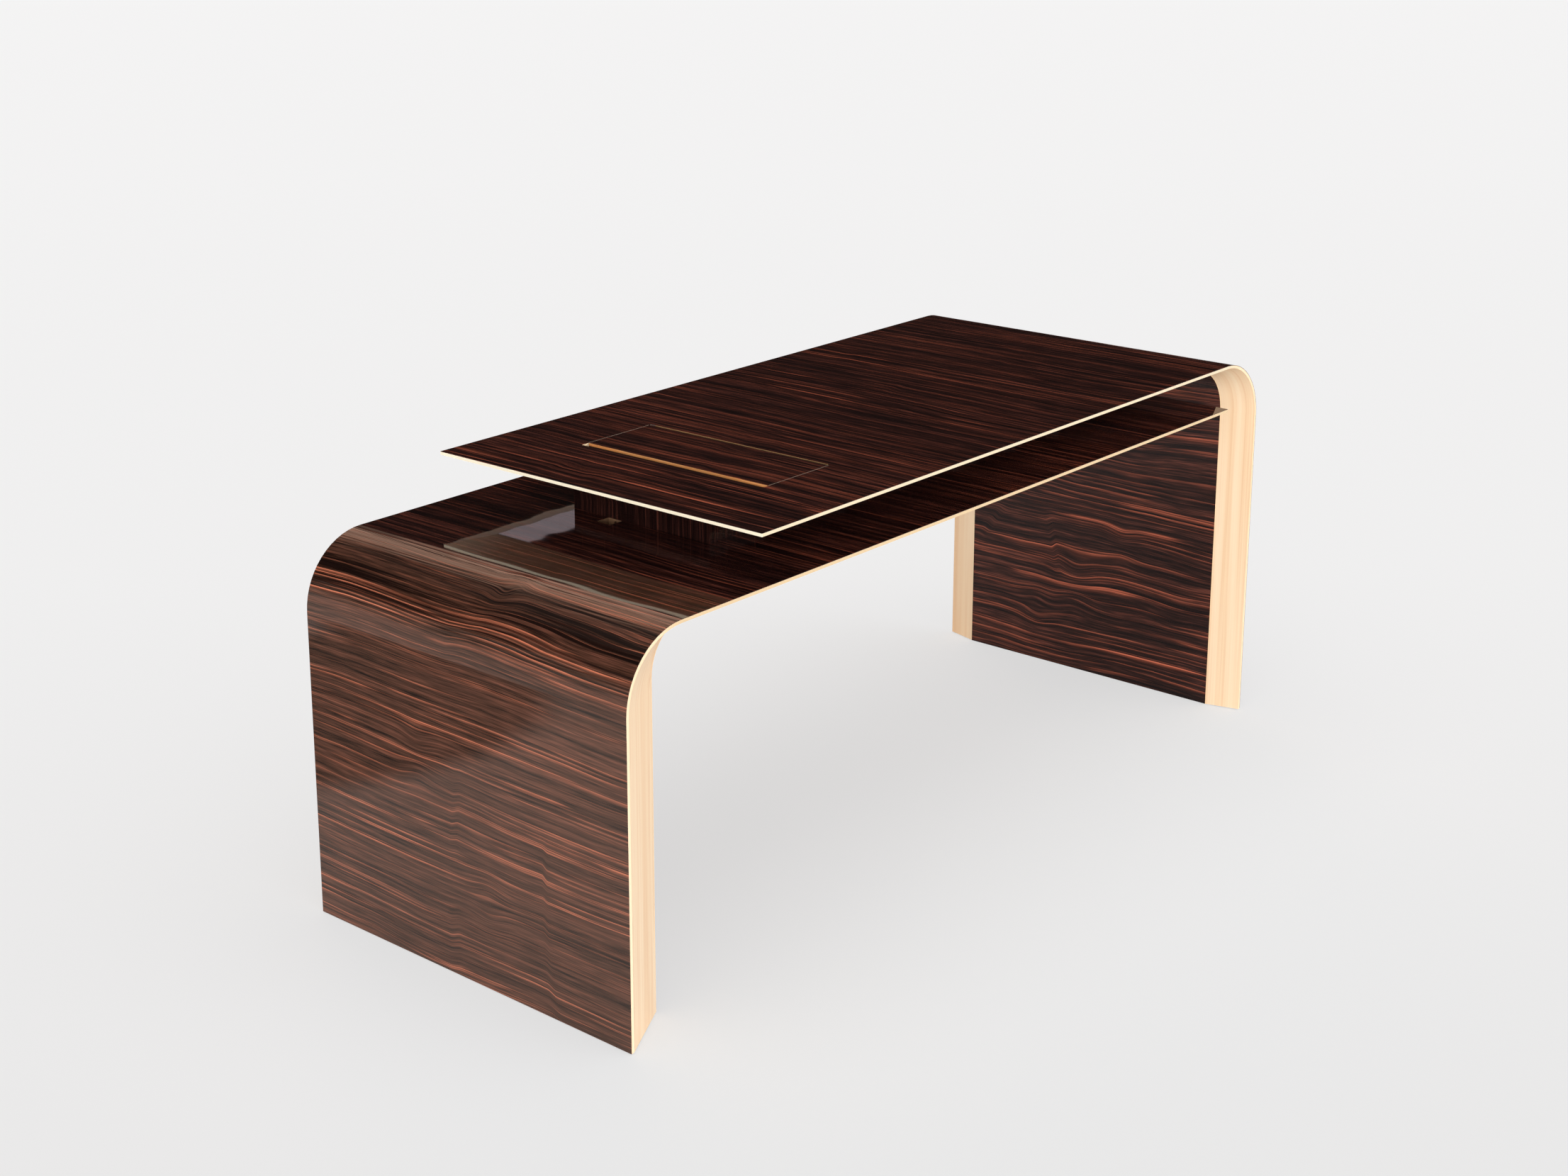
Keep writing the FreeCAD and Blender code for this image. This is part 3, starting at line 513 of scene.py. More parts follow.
def finish_veneer(tree, shader, across, along, look, bend_length):
    """Colour, gloss and ripple of the dark veneer at a place on its sheet."""
    seed = look["seed"]
    spot_across = across
    for row, column, reach, push in look.get("knots", ()):
        across = use_group(
            tree, knot, Across=across, Along=along, Row=row, Column=column, Reach=reach, Push=push)[0]
    zone = bend_zone(tree, across, bend_length)
    feed(tree, shader["Normal"], lacquer_ripple(tree, across, along, seed, zone))
    warped = use_group(tree, bent_grain, Across=across, Along=along, Seed=seed, Wave=look["wave"])[0]
    made = use_group(
        tree, streaks, Across=warped, Along=along, Seed=seed,
        Rings=look["rings"], Fall=look["fall"], Sparse=look.get("sparse", SPARSE))
    # Painted light: a lighter ground on the bend and down the leg.
    painted_light = calc(tree, "MULTIPLY", painted_light_share(tree, across, bend_length), look.get("painted_light", 0.0))
    # Painted shade and light: streaks dimmer on the flat board, brighter and warmer down the bend.
    painted_streak_light = eased(tree, across, 0.0, STREAK_LIGHT_RISE * bend_length)
    glow = scaled_range(tree, painted_streak_light, look["glow"] * look.get("run", 1.0), look["glow"])
    # Painted sheen: streaks brighter on the bend.
    glow = calc(tree, "MULTIPLY", glow, scaled_range(tree, zone, 1.0, 1.0 + look.get("painted_bend_sheen_and_lines", 0.0)))
    streak = mixed(tree, painted_streak_light, STREAK_COLOUR, look.get("streak", STREAK_COLOUR))
    colour = streak_colour(tree, made, glow, painted_light, streak)
    # Painted shade: a look's share of darkening toward black-brown.
    colour = mixed(tree, look.get("shade", 0.0), colour, BLACK_BROWN)
    if look.get("painted_bend_sheen_and_lines"):
        dark = calc(tree, "MULTIPLY", bend_dark_lines(tree, warped, along, seed, zone), look["painted_bend_sheen_and_lines"])
        colour = mixed(tree, dark, colour, BLACK_BROWN)
    if look.get("arris"):
        colour = pale_arris_line(tree, spot_across, along, made["Fibre"], colour)
    if look.get("pale_cut"):
        colour = mixed(tree, cut_edge(tree), colour, CUT_COLOUR)
    feed(tree, shader["Base Color"], colour)
    feed(tree, shader["Roughness"], scaled_range(tree, made["Fibre"], *LACQUER_ROUGHNESS))
    shader["IOR"].default_value = look.get("ior", LACQUER_IOR)
    shader["Specular Tint"].default_value = look.get("tint", CLEAR)


def sheet_veneer(name, sheet, look):
    """The dark veneer on a bent sheet."""
    material, tree, shader = new_material(name)
    spot = use_group(tree, unrolled, **sheet)
    bend_length = sheet["Radius"] * math.pi / 2
    finish_veneer(tree, shader, spot["Across"], spot["Along"], look, bend_length)
    return material


def box_veneer(name, look):
    """The dark veneer with its grain upright, for the box between the shells."""
    material, tree, shader = new_material(name)
    place = add(tree, "ShaderNodeTexCoord").outputs["Object"]
    x, y, z = add(tree, "ShaderNodeSeparateXYZ", {"Vector": place}).outputs
    finish_veneer(tree, shader, calc(tree, "ADD", x, y), z, look, NO_BEND)
    return material


print("lacquer with index", LACQUER_IOR, "and roughness", LACQUER_ROUGHNESS)

# %% [markdown]
# ## The five veneers
# The top keeps the plain dark ground. The deck's sheet is painted lighter below the bend, a painted light,
# and what it mirrors has an amber tint. The inner sheets shine less. The box is painted darker almost to
# black, a painted shade under the top. A knot is given by its place across and along the sheet, its
# reach, and its push, all in metres.

# %% The five veneers
DECK_IOR = 1.52
LINING_IOR = 1.3
AMBER = (1.0, 0.82, 0.70, 1.0)
TOP_KNOTS = ((-1.016, -0.046, 0.030, 0.020), (-1.143, -0.041, 0.028, -0.018), (-1.220, -0.061, 0.022, 0.010))
DECK_KNOTS = ((0.048, -0.048, 0.028, 0.022), (0.369, 0.098, 0.035, -0.020), (0.570, -0.053, 0.035, 0.018))
INSIDE_KNOTS = ((0.585, 0.030, 0.045, -0.036), (0.647, 0.124, 0.035, 0.024), (0.475, -0.079, 0.035, -0.020))

upper_veneer = sheet_veneer("gloss_veneer_top", UPPER_OUTER, {
    "seed": 3.0, "wave": 0.5, "rings": 85.0, "fall": 3.8, "glow": 1.25, "painted_bend_sheen_and_lines": 0.5,
    "knots": TOP_KNOTS, "arris": True,
})
# Painted shade and light: the deck's streaks are dimmed on the flat board under the top, and brightened and
# warmed on a lighter ground down the leg.
lower_veneer = sheet_veneer("gloss_veneer_deck", LOWER_OUTER, {
    "seed": 11.0, "wave": 0.6, "rings": 80.0, "fall": 9.0, "sparse": 0.48, "glow": 2.4, "run": 0.52,
    "painted_light": 0.78, "painted_bend_sheen_and_lines": 0.9, "knots": DECK_KNOTS,
    "streak": PAINTED_LIGHT_STREAK_COLOUR, "ior": DECK_IOR, "tint": AMBER,
})
upper_lining = sheet_veneer("gloss_veneer_top_inside", UPPER_INNER, {
    "seed": 23.0, "wave": 1.0, "rings": 58.0, "fall": 3.4, "glow": 2.1, "painted_light": 0.10,
    "knots": INSIDE_KNOTS, "ior": LINING_IOR, "pale_cut": True,
})
lower_lining = sheet_veneer("gloss_veneer_deck_inside", LOWER_INNER, {
    "seed": 37.0, "wave": 1.0, "rings": 60.0, "fall": 2.8, "glow": 1.5, "painted_light": 0.10,
    "ior": LINING_IOR, "pale_cut": True,
})
# Painted shade: the box is darkened toward black, standing for the shade under the top.
upright_veneer = box_veneer("gloss_veneer_box", {
    "seed": 41.0, "wave": 0.4, "rings": 60.0, "fall": 4.0, "glow": 0.14, "shade": 0.60,
})
for material in (upper_veneer, lower_veneer, upper_lining, lower_lining, upright_veneer):
    print(material.name, len(material.node_tree.nodes), "nodes")

# %% [markdown]
# ## Pale edges
# The shells are built up of thin pale layers. The sanded rim shows the outermost one, and the wide bevel
# beside it is solid wood whose growth lines run along the bend. Depth under the outer face tells rim from
# bevel. The lines are the same rings as in the veneer, read along the walk over the bend. Under the
# boards the bevel is painted a warmer honey than on the legs, a painted warm bounce light. The top's own
# rim is paler than the deck's, and at its free end it is nearly white.

# %% Pale wood
BEVEL_STOPS = (
    (0.34, (0.84, 0.550, 0.320)),
    (0.48, (0.91, 0.665, 0.430)),
    (0.60, (0.94, 0.725, 0.495)),
)
GROWTH_COLOUR = (0.74, 0.400, 0.180, 1.0)
# Painted warm bounce light: the bevel under the boards is mixed toward a warmer honey.
UNDERSIDE_BOUNCE_COLOUR = (0.80, 0.440, 0.190, 1.0)
UNDERSIDE_BOUNCE_SHARE = 0.45
UNDERSIDE_FADE = 0.05
RIM_DEPTH = 0.0062
RIM_BLUR = 0.0004
FREE_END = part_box("upper_core")[0].x - RUN_END
END_MARGIN = 0.0005
END_BLUR = 0.001
RING_SLANT = 0.45
FINE_SHARE = 0.35
SANDED_ROUGHNESS = (0.30, 0.45)


def within(tree, value, edge, softness):
    """1 below an edge and 0 above it, with a soft change."""
    return add(tree, "ShaderNodeMapRange", {
        "Value": value, "From Min": edge, "From Max": edge + softness, "To Min": 1.0, "To Max": 0.0,
    }).outputs[0]


def with_painted_shade(tree, colour, low, high, painted_shade_colour):
    """Another colour inside a box given by two corners, a painted shade in a cut."""
    place = add(tree, "ShaderNodeTexCoord").outputs["Object"]
    inside = 1.0
    for value, start, stop in zip(add(tree, "ShaderNodeSeparateXYZ", {"Vector": place}).outputs, low, high):
        middle, half = (start + stop) / 2, (stop - start) / 2
        inside = calc(tree, "MULTIPLY", inside, calc(tree, "COMPARE", value, middle, half))
    # Painted shade: inside the box the colour is replaced.
    return mixed(tree, inside, colour, painted_shade_colour)


def pale_wood(name, sheet, seed, lines, rim_on_run, rim_at_end, painted_shades=()):
    """The sanded pale rim and bevel of a shell. The rim has its own colour before the bend and at its end."""
    material, tree, shader = new_material(name)
    across, along, depth = use_group(tree, unrolled, **sheet)
    ring = calc(tree, "MULTIPLY_ADD", along, RING_SLANT, depth)
    broad = stretched_noise(tree, ring, across, seed, 95.0, 0.8)
    fine = stretched_noise(tree, ring, across, seed + 5.0, 420.0, 2.5)
    tone = calc(tree, "MULTIPLY_ADD", fine, FINE_SHARE, calc(tree, "MULTIPLY", broad, 1.0 - FINE_SHARE))
    growth = use_group(tree, rings, Across=ring, Along=across, Seed=seed, Rings=190.0, Fall=2.0)[0]
    bevel = colour_ramp(tree, tone, BEVEL_STOPS)
    bevel = mixed(tree, calc(tree, "MULTIPLY", growth, lines), bevel, GROWTH_COLOUR)
    before_bend = within(tree, across, 0.0, UNDERSIDE_FADE)
    # Painted warm bounce light under the boards.
    bevel = mixed(tree, calc(tree, "MULTIPLY", before_bend, UNDERSIDE_BOUNCE_SHARE), bevel, UNDERSIDE_BOUNCE_COLOUR)
    on_run = calc(tree, "MULTIPLY", within(tree, depth, RIM_DEPTH, RIM_BLUR), before_bend)
    rim = mixed(tree, within(tree, across, FREE_END + END_MARGIN, END_BLUR), rim_on_run, rim_at_end)
    colour = mixed(tree, on_run, bevel, rim)
    for painted_shade_colour in painted_shades:
        colour = with_painted_shade(tree, colour, *painted_shade_colour)
    feed(tree, shader["Base Color"], colour)
    feed(tree, shader["Roughness"], scaled_range(tree, fine, *SANDED_ROUGHNESS))
    bump = add(tree, "ShaderNodeBump", {"Height": fine, "Strength": 0.25, "Distance": 0.0003})
    feed(tree, shader["Normal"], bump.outputs[0])
    return material


print("rim", 1000 * RIM_DEPTH, "mm deep")

# %% [markdown]
# Two woods come of it, one for each shell. The pocket for leads is cut into the deck's wood, and its
# shade is painted brown, so the deck's wood is given a painted shade with the two corners of that cut.

# %% Two pale woods
PALE_TOP_RIM = (0.74, 0.620, 0.430, 1.0)
WHITE_END_RIM = (0.97, 0.865, 0.655, 1.0)
HONEY = (0.69, 0.510, 0.300, 1.0)
# Painted shade: the pocket's wood is painted brown where the recess lies in shade.
POCKET_LOW = (-0.5185, 0.0385, 0.600)
POCKET_HIGH = (-0.4400, 0.0715, 0.660)
POCKET_PAINTED_SHADE = (0.165, 0.093, 0.050, 1.0)
POCKET = (POCKET_LOW, POCKET_HIGH, POCKET_PAINTED_SHADE)

upper_pale = pale_wood(
    "pale_rim_top", UPPER_OUTER, seed=2.0, lines=0.25, rim_on_run=PALE_TOP_RIM, rim_at_end=WHITE_END_RIM)
lower_pale = pale_wood(
    "pale_rim_deck", LOWER_OUTER, seed=9.0, lines=0.75, rim_on_run=HONEY, rim_at_end=HONEY, painted_shades=[POCKET])
for material in (upper_pale, lower_pale):
    print(material.name, len(material.node_tree.nodes), "nodes")

# %% [markdown]
# ## The flap's edge
# The slot beside the flap shows the flap's own edge. Its upper band, as deep as a finger's grip, is pale
# wood painted orange-brown, a painted shade with warm bounce light. Below it and on the underside the
# wood is painted nearly black, a painted shade that makes the slot look deep, and its open pores still
# show.

# %% The flap's edge
UPPER_BAND_DEPTH = 0.0050
UPPER_BAND_BLUR = 0.0008
UPPER_BAND_STOPS = ((0.35, (0.46, 0.190, 0.060)), (0.50, (0.60, 0.265, 0.090)), (0.65, (0.72, 0.360, 0.140)))
PAINTED_SHADE_STOPS = ((0.38, (0.006, 0.004, 0.0035)), (0.52, (0.016, 0.009, 0.007)), (0.66, (0.040, 0.021, 0.014)))
LOWER_BAND_ROUGHNESS = (0.28, 0.46)

flap_edge_painted_shade, tree, shader = new_material("flap_edge_painted_shade")
across, along, depth = use_group(tree, unrolled, **UPPER_OUTER)
grain = stretched_noise(tree, depth, along, 61.0, 900.0, 14.0)
# Painted shade: an orange-brown band at the top of the edge, and near-black below it.
upper_band = colour_ramp(tree, grain, UPPER_BAND_STOPS)
pores = stretched_noise(tree, across, along, 67.0, 330.0, 9.0, detail=3.0)
painted_shade_colour = colour_ramp(tree, pores, PAINTED_SHADE_STOPS)
in_upper_band = within(tree, depth, UPPER_BAND_DEPTH, UPPER_BAND_BLUR)
feed(tree, shader["Base Color"], mixed(tree, in_upper_band, painted_shade_colour, upper_band))
feed(tree, shader["Roughness"], scaled_range(tree, pores, *LOWER_BAND_ROUGHNESS))
bump = add(tree, "ShaderNodeBump", {"Height": pores, "Strength": 0.3, "Distance": 0.0003})
feed(tree, shader["Normal"], bump.outputs[0])
print("flap lipping", 1000 * UPPER_BAND_DEPTH, "mm deep")

# %% [markdown]
# ## Hidden and small finishes
# The filling of the left leg and the dividers are plain light board, the tray is dark moulded plastic,
# the pads are felt, the hinge is brass and the screws are steel. Each gets the small unevenness that its
# making leaves.

# %% Small finishes
def speckled(name, dark, light, scales, rough, bump_depth, metal=0.0):
    """A plain finish whose colour, gloss and surface vary with one stretched noise."""
    material, tree, shader = new_material(name)
    place = add(tree, "ShaderNodeTexCoord").outputs["Object"]
    squeezed = add(tree, "ShaderNodeMapping", {"Vector": place, "Scale": scales})
    grain = add(tree, "ShaderNodeTexNoise", {
        "Vector": squeezed.outputs[0], "Scale": 1.0, "Detail": 3.0, "Roughness": 0.6,
    }).outputs["Fac"]
    feed(tree, shader["Base Color"], colour_ramp(tree, grain, ((0.35, dark), (0.65, light))))
    feed(tree, shader["Roughness"], scaled_range(tree, grain, *rough))
    bump = add(tree, "ShaderNodeBump", {"Height": grain, "Strength": 0.4, "Distance": bump_depth})
    feed(tree, shader["Normal"], bump.outputs[0])
    shader["Metallic"].default_value = metal
    return material


light_board = speckled(
    "light_board", dark=(0.50, 0.34, 0.19), light=(0.66, 0.48, 0.29),
    scales=(300, 60, 300), rough=(0.55, 0.75), bump_depth=0.0003)
tongue_wood = speckled(
    "tongue_wood", dark=(0.48, 0.30, 0.15), light=(0.62, 0.42, 0.24),
    scales=(60, 400, 400), rough=(0.5, 0.7), bump_depth=0.0003)
tray_plastic = speckled(
    "tray_plastic", dark=(0.012, 0.012, 0.013), light=(0.022, 0.022, 0.024),
    scales=(900, 900, 900), rough=(0.4, 0.6), bump_depth=0.0001)
felt = speckled(
    "pad_felt", dark=(0.05, 0.045, 0.04), light=(0.12, 0.11, 0.10),
    scales=(1500, 1500, 1500), rough=(0.9, 1.0), bump_depth=0.0004)
brass = speckled(
    "hinge_brass", dark=(0.62, 0.43, 0.20), light=(0.80, 0.60, 0.32),
    scales=(1200, 40, 1200), rough=(0.22, 0.38), bump_depth=0.00005, metal=1.0)
steel = speckled(
    "screw_steel", dark=(0.45, 0.45, 0.46), light=(0.62, 0.62, 0.63),
    scales=(900, 900, 60), rough=(0.25, 0.4), bump_depth=0.00005, metal=1.0)
glide_nylon = speckled(
    "glide_nylon", dark=(0.03, 0.03, 0.03), light=(0.06, 0.06, 0.06),
    scales=(700, 700, 700), rough=(0.45, 0.6), bump_depth=0.0001)
small_finishes = (light_board, tongue_wood, tray_plastic, felt, brass, steel, glide_nylon)
print("small finishes:", [material.name for material in small_finishes])

# %% [markdown]
# ## Dress the CAD nodes
# The CAD shapes are right, so they stay and only take a finish. The flap's veneer is cut from the top's
# own sheet, so the streaks run on across it.

# %% Dress the CAD nodes
FINISHES = {
    "upper_core": upper_pale,
    "upper_outer_veneer": upper_veneer,
    "upper_inner_veneer": upper_lining,
    "lower_core": lower_pale,
    "left_leg_front_rail": lower_pale,
    "left_leg_core": light_board,
    "left_leg_back_rail": lower_pale,
    "lower_outer_veneer": lower_veneer,
    "lower_inner_veneer": lower_lining,
    "box_front_panel": upright_veneer,
    "box_back_panel": upright_veneer,
    "box_left_panel": upright_veneer,
    "box_right_panel": upright_veneer,
    "box_tray_divider": light_board,
    "box_middle_divider": light_board,
    "box_top_tongues": tongue_wood,
    "box_corner_tongues": tongue_wood,
    "cable_tray": tray_plastic,
    "cable_grommet": tray_plastic,
    "flap_core": flap_edge_painted_shade,
    "flap_veneer": upper_veneer,
    "flap_pads": felt,
    "hinge_top_leaf": brass,
    "hinge_flap_leaf": brass,
    "hinge_pin": steel,
    "deck_screws": steel,
    "right_leg_glides": glide_nylon,
    "left_leg_glides": glide_nylon,
}
for name, material in FINISHES.items():
    nodes[name].data.materials.clear()
    nodes[name].data.materials.append(material)
print("dressed nodes:", len(FINISHES), "left plain:", sorted(set(nodes) - set(FINISHES)))

# %% [markdown]
# ## The piano hinge
# The flap turns on a hair-fine piano hinge: two leaves, each with every second knuckle on one pin.
# Knuckles repeat, so a small Geometry Nodes tree places them: a line of points, a short cylinder on each,
# and the leaf's plate beside them. The same tree makes both leaves. Only the side and the first knuckle
# differ, which are inputs.

# %% The hinge tree
KNUCKLE_SIDES = 12
KNUCKLE_SHARE = 0.93
ALONG_PIN = (math.pi / 2, 0.0, 0.0)
HINGE_INPUTS = {
    "Length": "NodeSocketFloat",
    "Pitch": "NodeSocketFloat",
    "Radius": "NodeSocketFloat",
    "First": "NodeSocketFloat",
    "Count": "NodeSocketInt",
    "Axis": "NodeSocketVector",
    "Plate": "NodeSocketVector",
    "Size": "NodeSocketVector",
    "Metal": "NodeSocketMaterial",
}
hinge_tree = bpy.data.node_groups.new("piano_hinge", "GeometryNodeTree")
HINGE_SOCKETS = {
    name: hinge_tree.interface.new_socket(name, in_out="INPUT", socket_type=kind).identifier
    for name, kind in HINGE_INPUTS.items()
}
hinge_tree.interface.new_socket("Geometry", in_out="OUTPUT", socket_type="NodeSocketGeometry")
given = hinge_tree.nodes.new("NodeGroupInput").outputs
result = hinge_tree.nodes.new("NodeGroupOutput").inputs
half_length = calc(hinge_tree, "MULTIPLY", given["Length"], 0.5)
from_end = calc(hinge_tree, "MULTIPLY", given["First"], given["Pitch"])
first_place = calc(hinge_tree, "SUBTRACT", from_end, half_length)
to_first = add(hinge_tree, "ShaderNodeCombineXYZ", {"Y": first_place})
start = add(hinge_tree, "ShaderNodeVectorMath", {0: given["Axis"], 1: to_first.outputs[0]}, operation="ADD")
stride = add(hinge_tree, "ShaderNodeCombineXYZ", {"Y": calc(hinge_tree, "MULTIPLY", given["Pitch"], 2.0)})
line = add(hinge_tree, "GeometryNodeMeshLine", {
    "Count": given["Count"], "Start Location": start.outputs[0], "Offset": stride.outputs[0]})
knuckle = add(hinge_tree, "GeometryNodeMeshCylinder", {
    "Vertices": KNUCKLE_SIDES, "Radius": given["Radius"],
    "Depth": calc(hinge_tree, "MULTIPLY", given["Pitch"], KNUCKLE_SHARE)})
knuckles = add(hinge_tree, "GeometryNodeInstanceOnPoints", {
    "Points": line.outputs[0], "Instance": knuckle.outputs[0], "Rotation": ALONG_PIN})
plate = add(hinge_tree, "GeometryNodeMeshCube", {"Size": given["Size"]})
placed = add(hinge_tree, "GeometryNodeTransform", {
    "Geometry": plate.outputs[0], "Translation": given["Plate"]})
joined = add(hinge_tree, "GeometryNodeJoinGeometry")
for part in (knuckles.outputs[0], placed.outputs[0]):
    hinge_tree.links.new(part, joined.inputs[0])
real = add(hinge_tree, "GeometryNodeRealizeInstances", {"Geometry": joined.outputs[0]})
dressed = add(hinge_tree, "GeometryNodeSetMaterial", {
    "Geometry": real.outputs[0], "Material": given["Metal"]})
feed(hinge_tree, result["Geometry"], dressed.outputs[0])
print("hinge tree:", len(hinge_tree.nodes), "nodes")

# %% [markdown]
# The leaves must ride on different bodies, so each becomes its own plain mesh. They stand where the CAD
# leaves are: the axis comes from the pin, and the plates from the leaves' own boxes.

# %% Two hinge leaves
HINGE_PITCH = 0.006
KNUCKLE_RADIUS = 0.0008
PLATE_THICKNESS = 0.0007
PLATE_TOP = 0.0006


def hinge_leaf(name, node, body, first, wall_side):
    """One leaf of the hinge as a plain mesh that stands for a CAD leaf. The wall side is -1 or 1 along X."""
    low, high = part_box(node)
    pin_low, pin_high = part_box("hinge_pin")
    length = high.y - low.y
    top = UPPER_OUTER["Top"] - PLATE_TOP
    wall = low.x if wall_side < 0 else high.x
    plate = Vector((wall - wall_side * PLATE_THICKNESS / 2, 0.0, (low.z + top) / 2))
    inputs = {
        "Length": length, "Pitch": HINGE_PITCH, "Radius": KNUCKLE_RADIUS, "First": first,
        "Count": int(length / HINGE_PITCH / 2), "Axis": (pin_low + pin_high) / 2, "Plate": plate,
        "Size": Vector((PLATE_THICKNESS, length, top - low.z)), "Metal": brass,
    }
    inputs["Axis"].y = 0.0
    holder = bpy.data.objects.new(name, bpy.data.meshes.new(name + "_empty"))
    bpy.context.scene.collection.objects.link(holder)
    modifier = holder.modifiers.new("hinge", "NODES")
    modifier.node_group = hinge_tree
    for label, value in inputs.items():
        modifier[HINGE_SOCKETS[label]] = value
    made = bpy.data.meshes.new_from_object(holder.evaluated_get(bpy.context.evaluated_depsgraph_get()))
    holder.modifiers.clear()
    holder.data = made
    made.name = name
    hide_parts(node)
    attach(holder, body)
    return holder


leaves = [
    hinge_leaf("fine_hinge_top_leaf", "hinge_top_leaf", "desk", first=0.5, wall_side=1),
    hinge_leaf("fine_hinge_flap_leaf", "hinge_flap_leaf", "flap", first=1.5, wall_side=-1),
]
for leaf in leaves:
    print(leaf.name, len(leaf.data.polygons), "faces")

# %% [markdown]
# ## Floor
# The desk stands on a wide pale floor that fills the view: one flat disc, large enough that the camera's
# own view shows no end of it.

# %% Floor
FLOOR_RADIUS = 60.0
FLOOR_SIDES = 64

rim = []
for corner in range(FLOOR_SIDES):
    turned = math.tau * corner / FLOOR_SIDES
    rim.append((FLOOR_RADIUS * math.cos(turned), FLOOR_RADIUS * math.sin(turned), 0.0))
floor_mesh = bpy.data.meshes.new("floor")
floor_mesh.from_pydata(rim, [], [list(range(FLOOR_SIDES))])
floor = bpy.data.objects.new("floor", floor_mesh)
bpy.context.scene.collection.objects.link(floor)
print("floor radius", FLOOR_RADIUS, "m")

# %% [markdown]
# The floor's colour lightens gently into the distance. Seen by the camera it glows a little by itself, so
# that it stays even, and the rest is lit, so that it keeps a faint shadow. Gloss sees less of that glow,
# and two painted reflections that nothing else sees. Far behind the desk a lilac patch of the floor glows
# for gloss alone, which the deck shows as a pale patch beside the box. Beside the left leg a patch turns
# black for gloss alone, a painted dark reflection that tones down the floor's mirror image on that leg.

# %% Floor paint
FLOOR_NEAR = -1.2
FLOOR_FAR = 18.0
AWAY = (0.741, 0.672, 0.0)
FLOOR_STOPS = (
    (0.00, (0.885, 0.885, 0.885)),
    (0.13, (0.965, 0.965, 0.965)),
    (0.45, (1.00, 1.00, 1.00)),
    (1.00, (1.02, 1.02, 1.02)),
)
MATT_COLOUR = (0.84, 0.85, 0.86, 1.0)
GLOW_SHARE = 0.65
GLOW_IN_GLOSS = 0.4
# Painted reflection: a glowing lilac patch on the floor that only gloss sees.
GLOSS_GLOW_PLACE = (1.16, 1.92, 0.0)
GLOSS_GLOW_REACH = (0.50, 0.34)
GLOSS_GLOW_COLOUR = (1.0, 0.85, 0.93, 1.0)
GLOSS_GLOW_EXTRA = 2.8
# Painted dark reflection: a patch on the floor that only gloss sees as black.
GLOSS_DARK_PLACE = (-1.54, 1.08, 0.0)
GLOSS_DARK_REACH = (0.50, 0.38)
GLOSS_DARK_SHARE = 0.75

floor_paint = bpy.data.materials.new("floor_paint")
floor_paint.use_nodes = True
tree = floor_paint.node_tree
tree.nodes.clear()
place = add(tree, "ShaderNodeTexCoord").outputs["Object"]
ray = add(tree, "ShaderNodeLightPath").outputs


def gloss_spot(centre, reach):
    """1 near a place on the floor and 0 past its reach, for glossy rays alone."""
    gap = add(tree, "ShaderNodeVectorMath", {0: place, 1: centre}, operation="DISTANCE").outputs["Value"]
    return calc(tree, "MULTIPLY", eased(tree, gap, *reach), ray["Is Glossy Ray"])


away = add(tree, "ShaderNodeVectorMath", {0: place, 1: AWAY}, operation="DOT_PRODUCT").outputs["Value"]
distance = add(tree, "ShaderNodeMapRange", {"Value": away, "From Min": FLOOR_NEAR, "From Max": FLOOR_FAR})
# Painted reflection: the glowing patch, for gloss alone.
gloss_glow = gloss_spot(GLOSS_GLOW_PLACE, GLOSS_GLOW_REACH)
glow = add(tree, "ShaderNodeEmission", {
    "Color": mixed(tree, gloss_glow, colour_ramp(tree, distance.outputs[0], FLOOR_STOPS), GLOSS_GLOW_COLOUR),
    "Strength": calc(tree, "MULTIPLY_ADD", gloss_glow, GLOSS_GLOW_EXTRA, 1.0),
})
matt = add(tree, "ShaderNodeBsdfDiffuse", {"Color": MATT_COLOUR})
seen = calc(tree, "ADD", ray["Is Camera Ray"], ray["Is Transmission Ray"])
seen = calc(tree, "MULTIPLY_ADD", ray["Is Glossy Ray"], GLOW_IN_GLOSS, shifted(tree, seen, gloss_glow))
pale = add(tree, "ShaderNodeMixShader", {
    0: calc(tree, "MULTIPLY", seen, GLOW_SHARE), 1: matt.outputs[0], 2: glow.outputs[0]})
# Painted dark reflection: black for gloss beside the left leg.
gloss_dark = calc(tree, "MULTIPLY", gloss_spot(GLOSS_DARK_PLACE, GLOSS_DARK_REACH), GLOSS_DARK_SHARE)
black = add(tree, "ShaderNodeEmission", {"Strength": 0.0})
shown = add(tree, "ShaderNodeMixShader", {0: gloss_dark, 1: pale.outputs[0], 2: black.outputs[0]})
add(tree, "ShaderNodeOutputMaterial", {"Surface": shown.outputs[0]})
floor_mesh.materials.append(floor_paint)
print("floor paint:", len(tree.nodes), "nodes")

# %% [markdown]
# ## Light
# Gloss shows what surrounds it. The top and deck mirror the low distance behind the desk, and they read
# as dark and deep only if nothing bright stands there. So the sky is dark near the horizon and soft
# overhead, with one warm panel high behind the desk, whose crisp lower edge draws the sheen on the left
# bend, and a dim wall low on the left. The camera itself sees a plain pale backdrop there, which only low
# views show. Gloss doesn't see the backdrop, because a pale sky would turn the dark lacquer grey.

# %% Sky
def aimed(azimuth, elevation):
    """A direction from its angle round from +X and its height above the horizon, in degrees."""
    round_angle, height = math.radians(azimuth), math.radians(elevation)
    level = math.cos(height)
    return (math.cos(round_angle) * level, math.sin(round_angle) * level, math.sin(height))


SKY_GROUND = 0.010
SKY_TINT = (1.0, 0.94, 0.90)
WARM_TINT = (1.0, 0.62, 0.46)
BACKDROP_COLOUR = (0.87, 0.87, 0.87, 1.0)
EDGE_BLUR = 2
